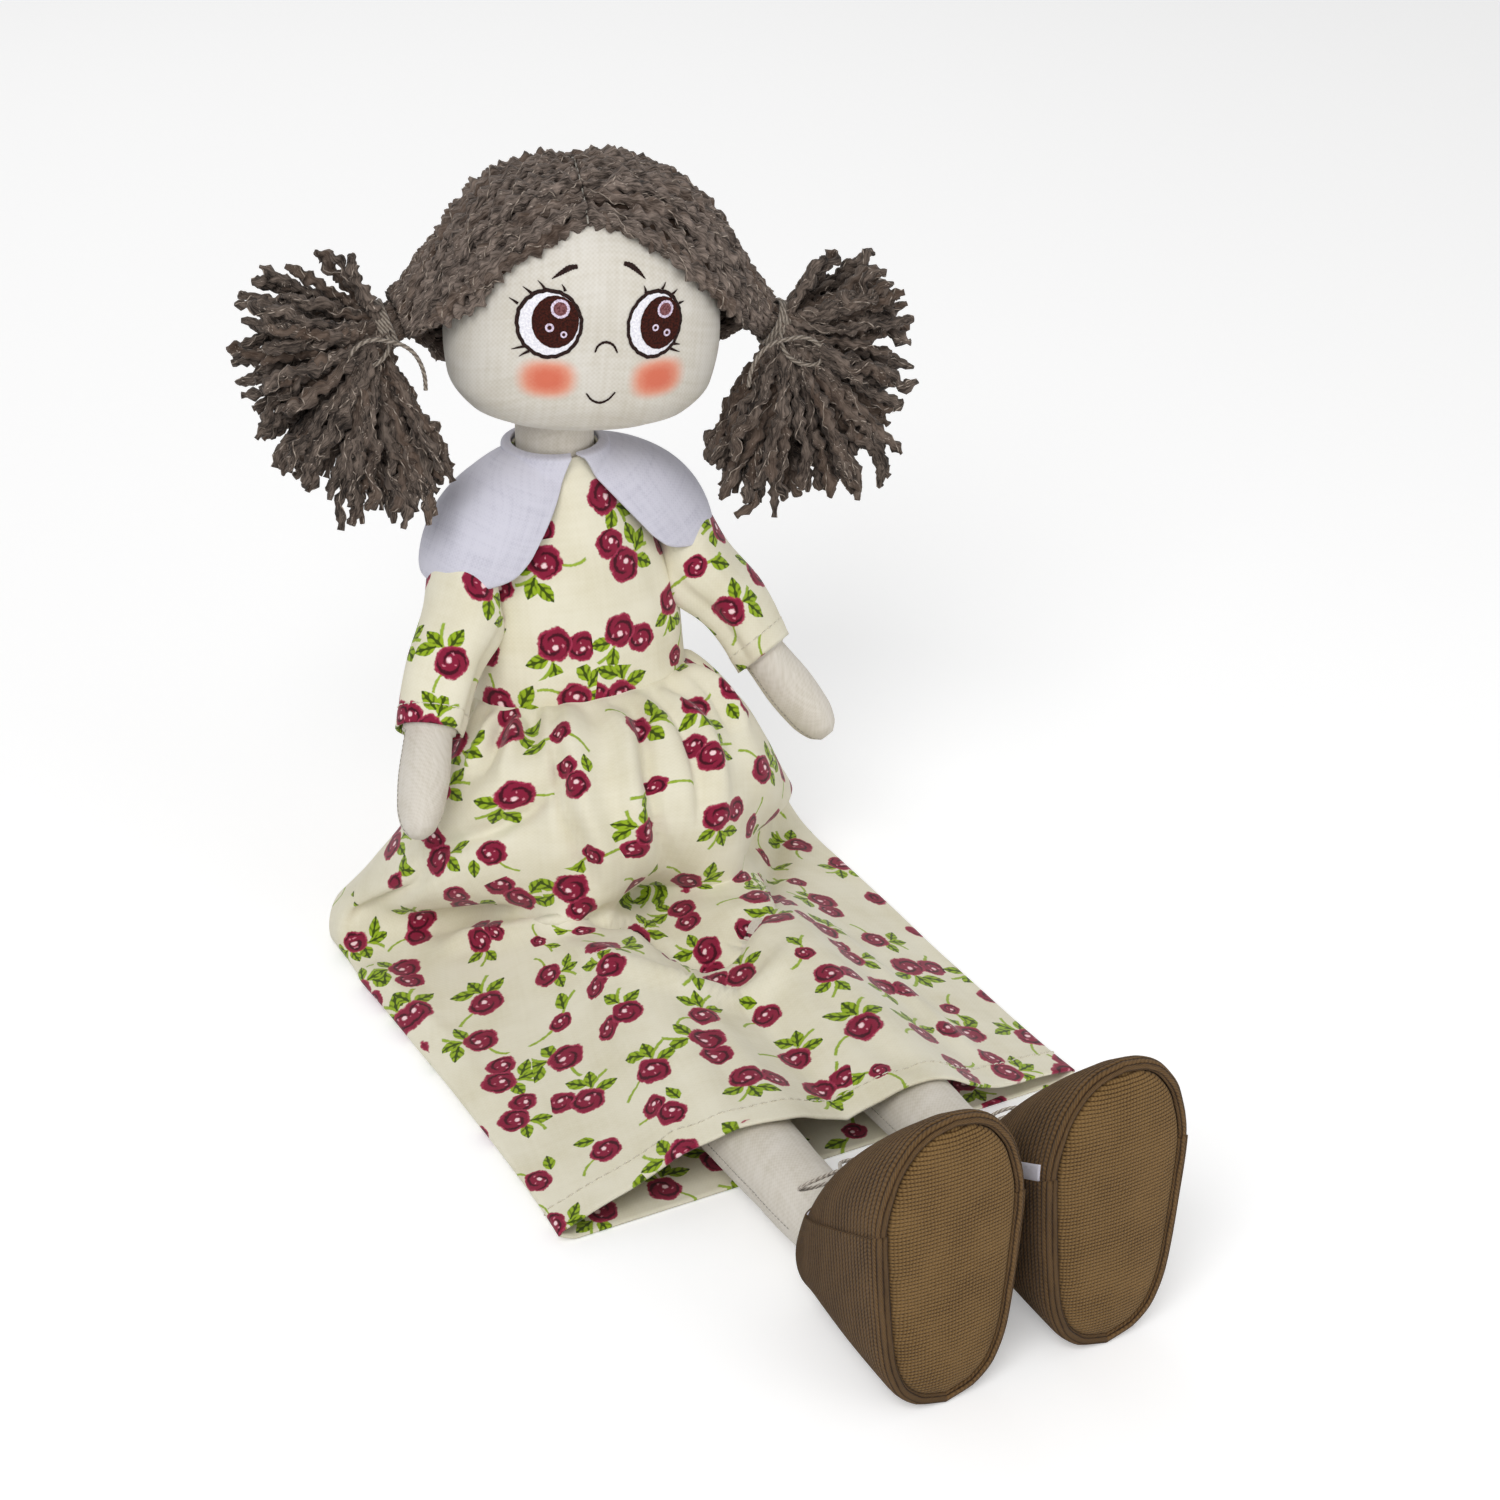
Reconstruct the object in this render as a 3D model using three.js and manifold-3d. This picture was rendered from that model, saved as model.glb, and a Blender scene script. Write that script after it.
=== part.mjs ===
// A seated cloth doll in a printed dress, about 40 cm tall when it is laid straight.
// Millimetres, +Z up. The doll faces -Y, its right hand is at -X.
// The origin is on the floor, on the flat underside of the skirt that the doll sits on.

import * as THREE from 'three';
import * as BufferGeometryUtils from 'three/addons/utils/BufferGeometryUtils.js';
import Module from 'manifold-3d';

const wasm = await Module();
wasm.setup();

// Clearances and cloth
const seamGap = 0.3;
const turnGap = 0.5;
const dressCloth = 1.0;
const skirtCloth = 1.2;
const cutOverrun = 5;
const ringSides = 24;
const limbSides = 20;

// Body
const bodyBottomZ = 1.9;
const bodyHalfWidth = 29;
const bodyHalfDepth = 16.5;
const bodyY = 8;
const waistZ = 74;
const shoulderZ = 118;
const shoulderY = 14;
const necklineZ = 137;
const neckY = 20;
const neckRadius = 10.6;
const neckPocketDepth = 9;

// Dress
const waistHalfWidth = 31.2;
const waistHalfDepth = 16.6;
const necklineRadius = 12.8;
const skirtFrontReach = 134;
const skirtBackReach = 43;
const skirtHalfWidth = 74;
const skirtFoldPower = 8;
const armholeRadius = 8;
const buttonRadius = 4;
const buttonThickness = 2;
const buttonZ = 111;

// Collar
const collarEaveZ = 106;
const collarRise = 32.5;
const collarHalfWidth = 41.5;
const collarY = 17;
const collarPower = 2.9;
const collarNeckRadius = 13.6;

// Arm, from the armhole to the tip of the mitten
const sleeveRadius = 10;
const cuffRadius = 8.8;
const cuffX = 50.6;
const cuffY = -5.3;
const cuffZ = 74;
const handX = 62;
const handY = -22;
const handZ = 53;
const handRadius = 7.9;
const tabRadius = 7;
const tabDepth = 4;

// Legs
const legX = 21.5;
const legZ = 13.1;
const legRadius = 11.3;
const hipY = -12.2;
const hipZ = 8;
const flapHalfWidth = 27;
const flapThickness = 3.2;
const flapLength = 11.5;

// Shoes
const soleY = -226;
const soleThickness = 2.4;
const soleLength = 77;
const soleHalfWidth = 18.6;
const shoeDepth = 42.5;
const shoeWall = 1.2;
const openingHalfWidth = 13;
const openingHalfLength = 15.5;
const liningWall = 0.8;
const liningProud = 2.5;
const liningLength = 7;

// Head and hair
const headZ = 181;
const headY = 12;
const chinZ = 150;
const crownZ = 215;
const headHalfWidth = 36.5;
const headHalfDepth = 27;
const headPower = 2.25;
const headTurnDeg = 13;
const headLeanDeg = 5;
const headShift = 4.8;
const hairThickness = 6.6;
const hairRidge = 0.9;
const hairRidgeCount = 8;
const hairSagShare = 0.3;
const partingHalfWidth = 0.9;
const tieX = 48;
const tieZ = 176.5;
const tieTiltDeg = 25;
const tieRadius = 6.9;
const bunchRadius = 5.2;
const bunchLength = 11.6;
const bunchSetback = 2.4;
const tieWidth = 3.4;
const tieThickness = 1.3;
const tieStart = 3.2;
const tailOutReach = 41;
const tailDownReach = 47;
const tailHalfDepth = 15.5;
const tailLean = 13;
const tailTopDeg = 24;
const tailLowDeg = -104;
const tailPower = 2.8;
const flute = 0.9;
const fluteCount = 12;
const threadRadius = 0.55;
const laceRadius = 0.45;
const threadSides = 8;
const threadStepDiameters = 2.7;

// Printed face, given as thin films
const filmThickness = 0.4;
const eyeX = 14.4;
const eyeZ = 183;
const eyeHalfWidth = 8.6;
const eyeHalfHeight = 9.2;
const irisShift = 1.9;
const irisHalfWidth = 6;
const irisHalfHeight = 7;
const browZ = 196.3;
const browX = 11.1;
const browHalfLength = 3.1;
const browHalfHeight = 0.8;
const browDrop = 3;
const noseZ = 176.2;
const noseHalfWidth = 2.9;
const noseRise = 2.4;
const smileZ = 164.3;
const smileHalfWidth = 3.8;
const smileDip = 2.7;
const lineHalfWidth = 0.35;
const blushX = 14.3;
const blushZ = 168.1;
const blushHalfWidth = 6.8;
const blushHalfHeight = 4.8;

// Materials
const materials = {
  skin: new THREE.MeshStandardMaterial({ color: 0xe9e0cb, roughness: 0.9, metalness: 0 }),
  print: new THREE.MeshStandardMaterial({ color: 0xeee4c6, roughness: 0.9, metalness: 0 }),
  linen: new THREE.MeshStandardMaterial({ color: 0xf1f0f4, roughness: 0.9, metalness: 0 }),
  hair: new THREE.MeshStandardMaterial({ color: 0x5d4e43, roughness: 0.85, metalness: 0 }),
  thread: new THREE.MeshStandardMaterial({ color: 0xb3a898, roughness: 0.8, metalness: 0 }),
  shoe: new THREE.MeshStandardMaterial({ color: 0x6f563a, roughness: 0.95, metalness: 0 }),
  sole: new THREE.MeshStandardMaterial({ color: 0x7d6546, roughness: 0.95, metalness: 0 }),
  button: new THREE.MeshStandardMaterial({ color: 0xf4f0e4, roughness: 0.4, metalness: 0 }),
  eyeWhite: new THREE.MeshStandardMaterial({ color: 0xf7f5fb, roughness: 0.8, metalness: 0 }),
  ink: new THREE.MeshStandardMaterial({ color: 0x2a1512, roughness: 0.8, metalness: 0 }),
  blush: new THREE.MeshStandardMaterial({ color: 0xec7f5e, roughness: 0.9, metalness: 0 }),
};

const doll = new THREE.Group();
const half = 0.5;
const { lerp, clamp, degToRad } = THREE.MathUtils;
const point = (x, y, z) => new THREE.Vector3(x, y, z);

// A curve of hand-chosen shares: rows of [place, value, value, ...], read smoothly in between.
function readShares(table, place) {
  const last = table.length - 1;
  const at = clamp(place, table[0][0], table[last][0]);
  let i = 0;
  while (i < last - 1 && at > table[i + 1][0]) i++;
  const span = table[i + 1][0] - table[i][0];
  const t = (at - table[i][0]) / span;
  const slope = (k, c) => (table[k + 1][c] - table[k][c]) / (table[k + 1][0] - table[k][0]);
  const tangent = (k, c) => {
    if (k === 0) return slope(0, c);
    if (k === last) return slope(last - 1, c);
    const before = slope(k - 1, c);
    const after = slope(k, c);
    return before * after <= 0 ? 0 : (2 * before * after) / (before + after);
  };
  const values = [];
  for (let c = 1; c < table[0].length; c++) {
    const rise = 3 * t * t - 2 * t * t * t;
    const leave = t * (1 - t) * (1 - t) * span * tangent(i, c);
    const arrive = t * t * (t - 1) * span * tangent(i + 1, c);
    values.push(table[i][c] * (1 - rise) + table[i + 1][c] * rise + leave + arrive);
  }
  return values;
}

// Sign-keeping power, for superellipses.
const bend = (value, power) => Math.sign(value) * Math.abs(value) ** (2 / power);

// Closed body from lists of points and triangles, turned so that its faces point out.
function closedBody(points, triangles) {
  const geometry = new THREE.BufferGeometry();
  const flat = points.flatMap((p) => [p.x, p.y, p.z]);
  let volume = 0;
  for (const [a, b, c] of triangles) {
    volume += points[a].dot(point(0, 0, 0).crossVectors(points[b], points[c]));
  }
  const faces = volume < 0 ? triangles.map(([a, b, c]) => [a, c, b]) : triangles;
  geometry.setAttribute('position', new THREE.Float32BufferAttribute(flat, 3));
  geometry.setIndex(faces.flat());
  return geometry;
}

// Quads between two rings of equal length, given as the index of their first points.
function bridge(triangles, first, second, count) {
  for (let k = 0; k < count; k++) {
    const next = (k + 1) % count;
    triangles.push([first + k, first + next, second + next]);
    triangles.push([first + k, second + next, second + k]);
  }
}

// A stuffed form: rings one after the other, closed by a fan at each end.
function stuffed(rings) {
  const count = rings[0].length;
  const points = rings.flat();
  const triangles = [];
  for (let i = 0; i + 1 < rings.length; i++) bridge(triangles, i * count, (i + 1) * count, count);
  const cap = (ring, start, flip) => {
    const centre = ring.reduce((sum, p) => sum.add(p), point(0, 0, 0)).divideScalar(count);
    const hub = points.push(centre) - 1;
    for (let k = 0; k < count; k++) {
      const next = (k + 1) % count;
      triangles.push(flip ? [hub, start + next, start + k] : [hub, start + k, start + next]);
    }
  };
  cap(rings[0], 0, true);
  cap(rings[rings.length - 1], (rings.length - 1) * count, false);
  return closedBody(points, triangles);
}

// A tube of cloth: an outer and an inner list of rings, joined at both ends.
function clothTube(outer, inner) {
  const count = outer[0].length;
  const rings = [...outer, ...inner.slice().reverse()];
  const triangles = [];
  for (let i = 0; i < rings.length; i++) {
    bridge(triangles, i * count, ((i + 1) % rings.length) * count, count);
  }
  return closedBody(rings.flat(), triangles);
}

// A sheet with a thickness: a grid of points on its face and one on its back.
function clothSheet(face, back) {
  const rows = face.length;
  const columns = face[0].length;
  const points = [...face.flat(), ...back.flat()];
  const behind = rows * columns;
  const triangles = [];
  const quad = (a, b, c, d) => triangles.push([a, b, c], [a, c, d]);
  for (let i = 0; i + 1 < rows; i++) {
    for (let j = 0; j + 1 < columns; j++) {
      const a = i * columns + j;
      quad(a, a + 1, a + columns + 1, a + columns);
      quad(behind + a, behind + a + columns, behind + a + columns + 1, behind + a + 1);
    }
  }
  for (let j = 0; j + 1 < columns; j++) {
    const far = (rows - 1) * columns + j;
    quad(j + 1, j, behind + j, behind + j + 1);
    quad(far, far + 1, behind + far + 1, behind + far);
  }
  for (let i = 0; i + 1 < rows; i++) {
    const left = i * columns;
    const right = left + columns - 1;
    quad(left, left + columns, behind + left + columns, behind + left);
    quad(right + columns, right, behind + right, behind + right + columns);
  }
  return closedBody(points, triangles);
}

// The same body with every shared corner held once.
function joined(geometry) {
  const bare = geometry.clone();
  bare.deleteAttribute('normal');
  bare.deleteAttribute('uv');
  return BufferGeometryUtils.mergeVertices(bare);
}

// The mirror image across the plane x = 0, with its faces still pointing out.
function mirrorX(geometry) {
  const mirrored = joined(geometry);
  mirrored.scale(-1, 1, 1);
  mirrored.index.array.reverse();
  return mirrored;
}

function toSolid(geometry) {
  const merged = joined(geometry);
  return new wasm.Manifold(new wasm.Mesh({
    numProp: 3,
    vertProperties: new Float32Array(merged.attributes.position.array),
    triVerts: new Uint32Array(merged.index.array),
  }));
}

function fromSolid(solid) {
  const mesh = solid.getMesh();
  const geometry = new THREE.BufferGeometry();
  geometry.setAttribute('position', new THREE.BufferAttribute(mesh.vertProperties, 3));
  geometry.setIndex(new THREE.BufferAttribute(mesh.triVerts, 1));
  return geometry;
}

function addPiece(parent, name, geometry, material) {
  const mesh = new THREE.Mesh(geometry, material);
  mesh.name = name;
  parent.add(mesh);
  return mesh;
}

// An ellipse with a superellipse power, lying in the plane of two directions.
function ellipseRing(centre, across, along, halfAcross, halfAlong, power = 2, sides = ringSides) {
  const ring = [];
  for (let k = 0; k < sides; k++) {
    const angle = (2 * Math.PI * k) / sides;
    ring.push(centre.clone()
      .addScaledVector(across, halfAcross * bend(Math.cos(angle), power))
      .addScaledVector(along, halfAlong * bend(Math.sin(angle), power)));
  }
  return ring;
}

const acrossX = point(1, 0, 0);
const alongY = point(0, 1, 0);
const alongZ = point(0, 0, 1);

// A round bar along X, from one place to another.
function barAlongX(radius, fromX, toX, y, z) {
  const bar = new THREE.CylinderGeometry(radius, radius, Math.abs(toX - fromX), ringSides);
  bar.rotateZ(Math.PI * half);
  bar.translate((fromX + toX) * half, y, z);
  return bar;
}

// Torso and neck

// Height share, half-width share, half-depth share and lean share, from the seat to the waist.
const seatShares = [
  [0, 0.74, 0.72],
  [0.03, 0.88, 0.88],
  [0.1, 0.98, 0.98],
  [0.35, 1, 1],
  [0.7, 0.95, 0.93],
  [1, 0.92, 0.85],
];
// The same from the waist to the neckline: half-width from waist to shoulder to neck.
const chestShares = [
  [0, 1, 1, 0],
  [0.3, 0.9, 0.94, 0.12],
  [0.55, 0.76, 0.85, 0.3],
  [0.72, 0.58, 0.77, 0.52],
  [0.86, 0.28, 0.55, 0.78],
  [0.95, 0.07, 0.14, 0.94],
  [1, 0, 0, 1],
];

const waistWidth = bodyHalfWidth * readShares(seatShares, 1)[0];
const waistDepth = bodyHalfDepth * readShares(seatShares, 1)[1];

// Centre and half-sizes of the stuffed body at a height.
function bodyAt(z) {
  if (z < waistZ) {
    const [width, depth] = readShares(seatShares, (z - bodyBottomZ) / (waistZ - bodyBottomZ));
    return { y: bodyY, width: bodyHalfWidth * width, depth: bodyHalfDepth * depth };
  }
  const [width, depth, lean] = readShares(chestShares, (z - waistZ) / (necklineZ - waistZ));
  return {
    y: lerp(bodyY, neckY, lean),
    width: neckRadius + (waistWidth - neckRadius) * width,
    depth: neckRadius + (waistDepth - neckRadius) * depth,
  };
}

const bodyHeightShares = [0, 0.02, 0.08, 0.25, 0.54, 0.7, 0.8, 0.88, 0.94, 1];
const neckTopZ = chinZ + neckPocketDepth - turnGap;

function makeTorso() {
  const rings = bodyHeightShares.map((share) => {
    const z = lerp(bodyBottomZ, necklineZ, share);
    const { y, width, depth } = bodyAt(z);
    return ellipseRing(point(0, y, z), acrossX, alongY, width, depth);
  });
  rings.push(ellipseRing(point(0, neckY, neckTopZ), acrossX, alongY, neckRadius, neckRadius));
  let solid = toSolid(stuffed(rings));
  const pocketX = bodyAt(shoulderZ).width - tabDepth;
  for (const side of [-1, 1]) {
    const farX = side * (bodyHalfWidth + cutOverrun);
    const pocket = barAlongX(tabRadius + turnGap, side * pocketX, farX, shoulderY, shoulderZ);
    solid = solid.subtract(toSolid(pocket));
  }
  return fromSolid(solid);
}
addPiece(doll, 'torso', makeTorso(), materials.skin);

// Bodice: a shell round the chest, flared to the waist seam

// Centre and half-sizes of the bodice's outer face at a height.
function bodiceAt(z) {
  const body = bodyAt(z);
  const flareTopZ = shoulderZ - sleeveRadius;
  const flareShare = clamp((flareTopZ - z) / (flareTopZ - waistZ), 0, 1);
  const ease = seamGap + dressCloth;
  const neckShare = clamp((z - shoulderZ) / (necklineZ - shoulderZ), 0, 1);
  const neckEase = lerp(ease, necklineRadius - neckRadius, neckShare);
  return {
    y: body.y,
    width: lerp(body.width + neckEase, waistHalfWidth, flareShare),
    depth: lerp(body.depth + neckEase, waistHalfDepth, flareShare),
  };
}

const bodiceHeightShares = [0, 0.3, 0.56, 0.7, 0.8, 0.9, 1];

function makeBodice() {
  const outer = [];
  const inner = [];
  for (const share of bodiceHeightShares) {
    const z = lerp(waistZ + seamGap, necklineZ, share);
    const { y, width, depth } = bodiceAt(z);
    outer.push(ellipseRing(point(0, y, z), acrossX, alongY, width, depth));
    inner.push(ellipseRing(point(0, y, z), acrossX, alongY, width - dressCloth, depth - dressCloth));
  }
  const farX = waistHalfWidth + cutOverrun;
  const armholes = toSolid(barAlongX(armholeRadius, -farX, farX, shoulderY, shoulderZ));
  return fromSolid(toSolid(clothTube(outer, inner)).subtract(armholes));
}
addPiece(doll, 'bodice', makeBodice(), materials.print);

// Small button at the nape that closes the dress

function makeButton() {
  const rim = buttonThickness * half;
  const profile = [
    new THREE.Vector2(0, 0),
    new THREE.Vector2(buttonRadius - rim * half, 0),
    new THREE.Vector2(buttonRadius, rim * half),
    new THREE.Vector2(buttonRadius, buttonThickness - rim * half),
    new THREE.Vector2(buttonRadius - rim, buttonThickness),
    new THREE.Vector2(buttonRadius - rim - rim * half, rim),
    new THREE.Vector2(0, rim),
  ];
  return new THREE.LatheGeometry(profile, ringSides * half);
}
const napeLow = bodiceAt(buttonZ - buttonRadius);
const napeHigh = bodiceAt(buttonZ + buttonRadius);
const button = addPiece(doll, 'nape_button', makeButton(), materials.button);
const napeSlope = Math.atan2(napeLow.y + napeLow.depth - napeHigh.y - napeHigh.depth, 2 * buttonRadius);
button.position.set(0, bodiceAt(buttonZ).y + bodiceAt(buttonZ).depth + seamGap * 2, buttonZ);
button.rotation.set(napeSlope, 0, 0);

// Skirt: a wide tube of cloth that puffs out at the belly, folds at the hips and lies over the legs

// Sections from the waist seam to the hem: reach and height of the front edge, reach and height of
// the back edge, width and flatness. Reach counts forward, and heights are shares of the waist's.
const skirtShares = [
  [0.064, 1, -0.574, 1, 0.422, 0],
  [0.15, 0.985, -0.67, 0.88, 0.5, 0],
  [0.235, 0.9, -0.77, 0.74, 0.6, 0],
  [0.3, 0.77, -0.86, 0.58, 0.67, 0],
  [0.325, 0.62, -0.94, 0.42, 0.75, 0.05],
  [0.318, 0.47, -0.99, 0.26, 0.86, 0.2],
  [0.295, 0.345, -0.97, 0.1, 0.95, 0.55],
  [0.33, 0.34, -0.62, 0, 1, 0.85],
  [0.41, 0.362, -0.1, 0, 1, 1],
  [0.54, 0.368, 0.26, 0, 0.995, 1],
  [0.68, 0.366, 0.5, 0, 0.985, 1],
  [0.83, 0.362, 0.74, 0, 0.985, 1],
  [0.93, 0.36, 0.9, 0, 0.99, 1],
  [1, 0.358, 1, 0, 1, 1],
].map((row, i, all) => [i / (all.length - 1), ...row]);
// Height of the lap over its width: centre, legs, then the sides that lie on the floor.
const lapShares = [
  [0, 0.66],
  [0.1, 0.78],
  [0.2, 0.98],
  [0.29, 1.02],
  [0.38, 0.97],
  [0.48, 0.74],
  [0.62, 0.42],
  [0.8, 0.28],
  [1, 0.2],
];
const skirtPinchShare = 0.12;
// The lower layer lies flat on the floor up to this share of its half-width, and from the section
// with this flatness on.
const floorWidthShare = 0.9;
const floorFlatShare = 0.85;
const skirtSteps = 13;
const skirtSides = 36;

function skirtRing(place, inset) {
  const [frontReach, frontRise, backReach, backRise, wide, flat] = readShares(skirtShares, place);
  const backLength = backReach < 0 ? skirtBackReach : skirtFrontReach;
  const front = point(0, -frontReach * skirtFrontReach, frontRise * waistZ);
  const back = point(0, -backReach * backLength, backRise * waistZ);
  const up = front.clone().sub(back);
  const depth = up.length();
  up.normalize();
  const halfWidth = wide * skirtHalfWidth;
  const ring = [];
  for (let k = 0; k < skirtSides; k++) {
    const angle = (2 * Math.PI * k) / skirtSides;
    const side = Math.cos(angle);
    const round = half + half * Math.sin(angle);
    const edge = Math.sqrt(1 - Math.abs(side) ** skirtFoldPower);
    const lap = readShares(lapShares, Math.abs(side))[0] * edge;
    const below = Math.sin(angle) < 0;
    const toEdge = clamp((Math.abs(side) - floorWidthShare) / (1 - floorWidthShare), 0, 1);
    const edgeLift = lapShares[lapShares.length - 1][1] * half * toEdge ** 2;
    const lying = below ? edgeLift : edgeLift + lap;
    const share = lerp(round, lying, below ? Math.min(1, flat / floorFlatShare) : flat);
    const x = side * halfWidth * (1 - inset / halfWidth);
    const middle = lerp(half, edgeLift + lap * half, flat);
    const full = Math.abs(share - middle);
    const reach = Math.sign(share - middle) * Math.max(full * skirtPinchShare, full - inset / depth);
    ring.push(back.clone().addScaledVector(up, depth * (middle + reach)).addScaledVector(acrossX, x));
  }
  return ring;
}

function makeSkirt() {
  const outer = [];
  const inner = [];
  for (let i = 0; i <= skirtSteps; i++) {
    outer.push(skirtRing(i / skirtSteps, 0));
    inner.push(skirtRing(i / skirtSteps, skirtCloth));
  }
  return clothTube(outer, inner);
}
addPiece(doll, 'skirt', makeSkirt(), materials.print);

// Collar: two lobes that lie over the shoulders and the tops of the sleeves

// Reach of the drape round the neck: share of a half turn from the front, share of the half-width.
const drapeShares = [
  [0, 0.46],
  [0.16, 0.52],
  [0.25, 0.66],
  [0.3, 0.84],
  [0.36, 1.02],
  [0.46, 1.06],
  [0.54, 1.05],
  [0.63, 0.94],
  [0.72, 0.76],
  [0.84, 0.58],
  [1, 0.5],
];
// Start and end of a lobe round the neck, and how far it falls, from the neck to its edge.
const lobeStartShares = [[0, 0.02], [0.35, 0.1], [1, 0.28]];
const lobeFallShares = [[0, 0.78], [0.12, 0.93], [0.3, 0.9], [0.5, 0.84], [0.75, 0.8], [1, 0.7]];
const lobeEndShare = 0.97;
const lobeTopShare = 0.08;
const collarColumns = 13;
const collarRows = 5;

function collarPoint(side, turnShare, fall, lift) {
  const turn = Math.PI * turnShare;
  const reach = collarHalfWidth * readShares(drapeShares, turnShare)[0];
  const angle = fall * Math.PI * half;
  const out = Math.max(collarNeckRadius, reach * bend(Math.sin(angle), collarPower)) + lift;
  const z = collarEaveZ + (collarRise + lift) * bend(Math.cos(angle), collarPower);
  const centreY = lerp(neckY, collarY, clamp(fall, 0, 1));
  return point(side * out * Math.sin(turn), centreY - out * Math.cos(turn), z);
}

function makeCollar(side) {
  const face = [];
  const back = [];
  for (let i = 0; i <= collarRows; i++) {
    const v = i / collarRows;
    const faceRow = [];
    const backRow = [];
    for (let j = 0; j <= collarColumns; j++) {
      const u = j / collarColumns;
      const start = readShares(lobeStartShares, v)[0];
      const turnShare = lerp(start, lobeEndShare, u);
      const fall = lerp(lobeTopShare, readShares(lobeFallShares, u)[0], v);
      faceRow.push(collarPoint(side, turnShare, fall, dressCloth));
      backRow.push(collarPoint(side, turnShare, fall, 0));
    }
    face.push(faceRow);
    back.push(backRow);
  }
  return clothSheet(face, back);
}
addPiece(doll, 'collar_right', makeCollar(-1), materials.linen);
addPiece(doll, 'collar_left', makeCollar(1), materials.linen);

// Arms and sleeves

// Sleeve sections from the armhole to the cuff: tilt of the section from the armhole's plane,
// then places as shares of the way to the cuff, sideways, forward and down, and the radius
// as a share of the way from sleeve to cuff.
const sleeveShares = [
  [0, 0, 0, 0, 0, 0],
  [0.14, 0.36, 0.2, 0.08, 0.02, 0],
  [0.3, 0.66, 0.34, 0.27, 0.18, 0.15],
  [0.48, 0.88, 0.45, 0.5, 0.38, 0.45],
  [0.74, 1, 0.74, 0.76, 0.64, 0.7],
  [1, 1, 1, 1, 1, 1],
];
const sleeveSteps = 6;
const handShares = [
  [0, 0, 0.8, 0.8],
  [0.15, 0.12, 0.86, 0.82],
  [0.45, 0.42, 1, 0.86],
  [0.72, 0.72, 0.94, 0.78],
  [0.9, 0.92, 0.66, 0.55],
  [1, 1, 0.3, 0.26],
];
const handSteps = 5;
const armholeX = bodiceAt(shoulderZ - sleeveRadius).width + seamGap;

// Section of a sleeve on the doll's left, at a share of its length, with its axes.
function sleeveSection(share) {
  const [tilt, out, forward, down, taper] = readShares(sleeveShares, share);
  const centre = point(
    lerp(armholeX, cuffX, out),
    lerp(shoulderY, cuffY, forward),
    lerp(shoulderZ, cuffZ, down),
  );
  const lowest = point(handX - cuffX, handY - cuffY, handZ - cuffZ).normalize();
  const normal = acrossX.clone().multiplyScalar(Math.cos(tilt * Math.PI * half))
    .addScaledVector(lowest, Math.sin(tilt * Math.PI * half)).normalize();
  const side = lowest.clone().cross(acrossX).normalize();
  const other = side.clone().cross(normal).normalize();
  return { centre, side, other, radius: lerp(sleeveRadius, cuffRadius, taper) };
}

function mirrorRings(rings, side) {
  return rings.map((ring) => ring.map((p) => point(p.x * side, p.y, p.z)));
}

function sleeveRings(inset) {
  const rings = [];
  for (let i = 0; i <= sleeveSteps; i++) {
    const { centre, side, other, radius } = sleeveSection(i / sleeveSteps);
    rings.push(ellipseRing(centre, side, other, radius - inset, radius - inset, 2, limbSides));
  }
  return rings;
}

function makeSleeve(side) {
  return clothTube(mirrorRings(sleeveRings(0), side), mirrorRings(sleeveRings(dressCloth), side));
}

function makeArm(side) {
  const rings = sleeveRings(dressCloth + seamGap);
  const cuff = sleeveSection(1);
  const tip = point(handX, handY, handZ);
  for (let i = 1; i <= handSteps; i++) {
    const [way, width, thickness] = readShares(handShares, i / handSteps);
    const centre = cuff.centre.clone().lerp(tip, way);
    const across = handRadius * width;
    rings.push(ellipseRing(centre, cuff.side, cuff.other, across, handRadius * thickness, 2, limbSides));
  }
  const rootX = bodyAt(shoulderZ).width - tabDepth + seamGap;
  const arm = toSolid(stuffed(mirrorRings(rings, side)));
  const tab = barAlongX(tabRadius, side * rootX, side * (armholeX + dressCloth), shoulderY, shoulderZ);
  return fromSolid(arm.add(toSolid(tab)));
}
for (const [side, hand] of [[-1, 'right'], [1, 'left']]) {
  addPiece(doll, `arm_${hand}`, makeArm(side), materials.skin);
  addPiece(doll, `sleeve_${hand}`, makeSleeve(side), materials.print);
}

// Hip flap: the unstuffed cloth that joins both legs to the seam of the body

// An outline drawn as (y, z) and pushed along x, centred on a place.
function pushAlongX(outline, width, centreX) {
  const body = new THREE.ExtrudeGeometry(outline, { depth: width, bevelEnabled: false });
  body.applyMatrix4(new THREE.Matrix4().makeBasis(alongY, alongZ, acrossX));
  body.translate(centreX - width * half, 0, 0);
  return body;
}

function makeHipFlap() {
  const round = flapThickness * half;
  const outline = new THREE.Shape();
  outline.moveTo(-flapLength, -round);
  outline.lineTo(0, -round);
  outline.absarc(0, 0, round, -Math.PI * half, Math.PI * half, false);
  outline.lineTo(-flapLength, round);
  outline.closePath();
  return pushAlongX(outline, 2 * flapHalfWidth, 0);
}
const flap = addPiece(doll, 'hip_flap', makeHipFlap(), materials.skin);
flap.position.set(0, hipY, hipZ);

// Legs: flat where they are sewn to the flap, then round, with the foot turned up in the shoe

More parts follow.
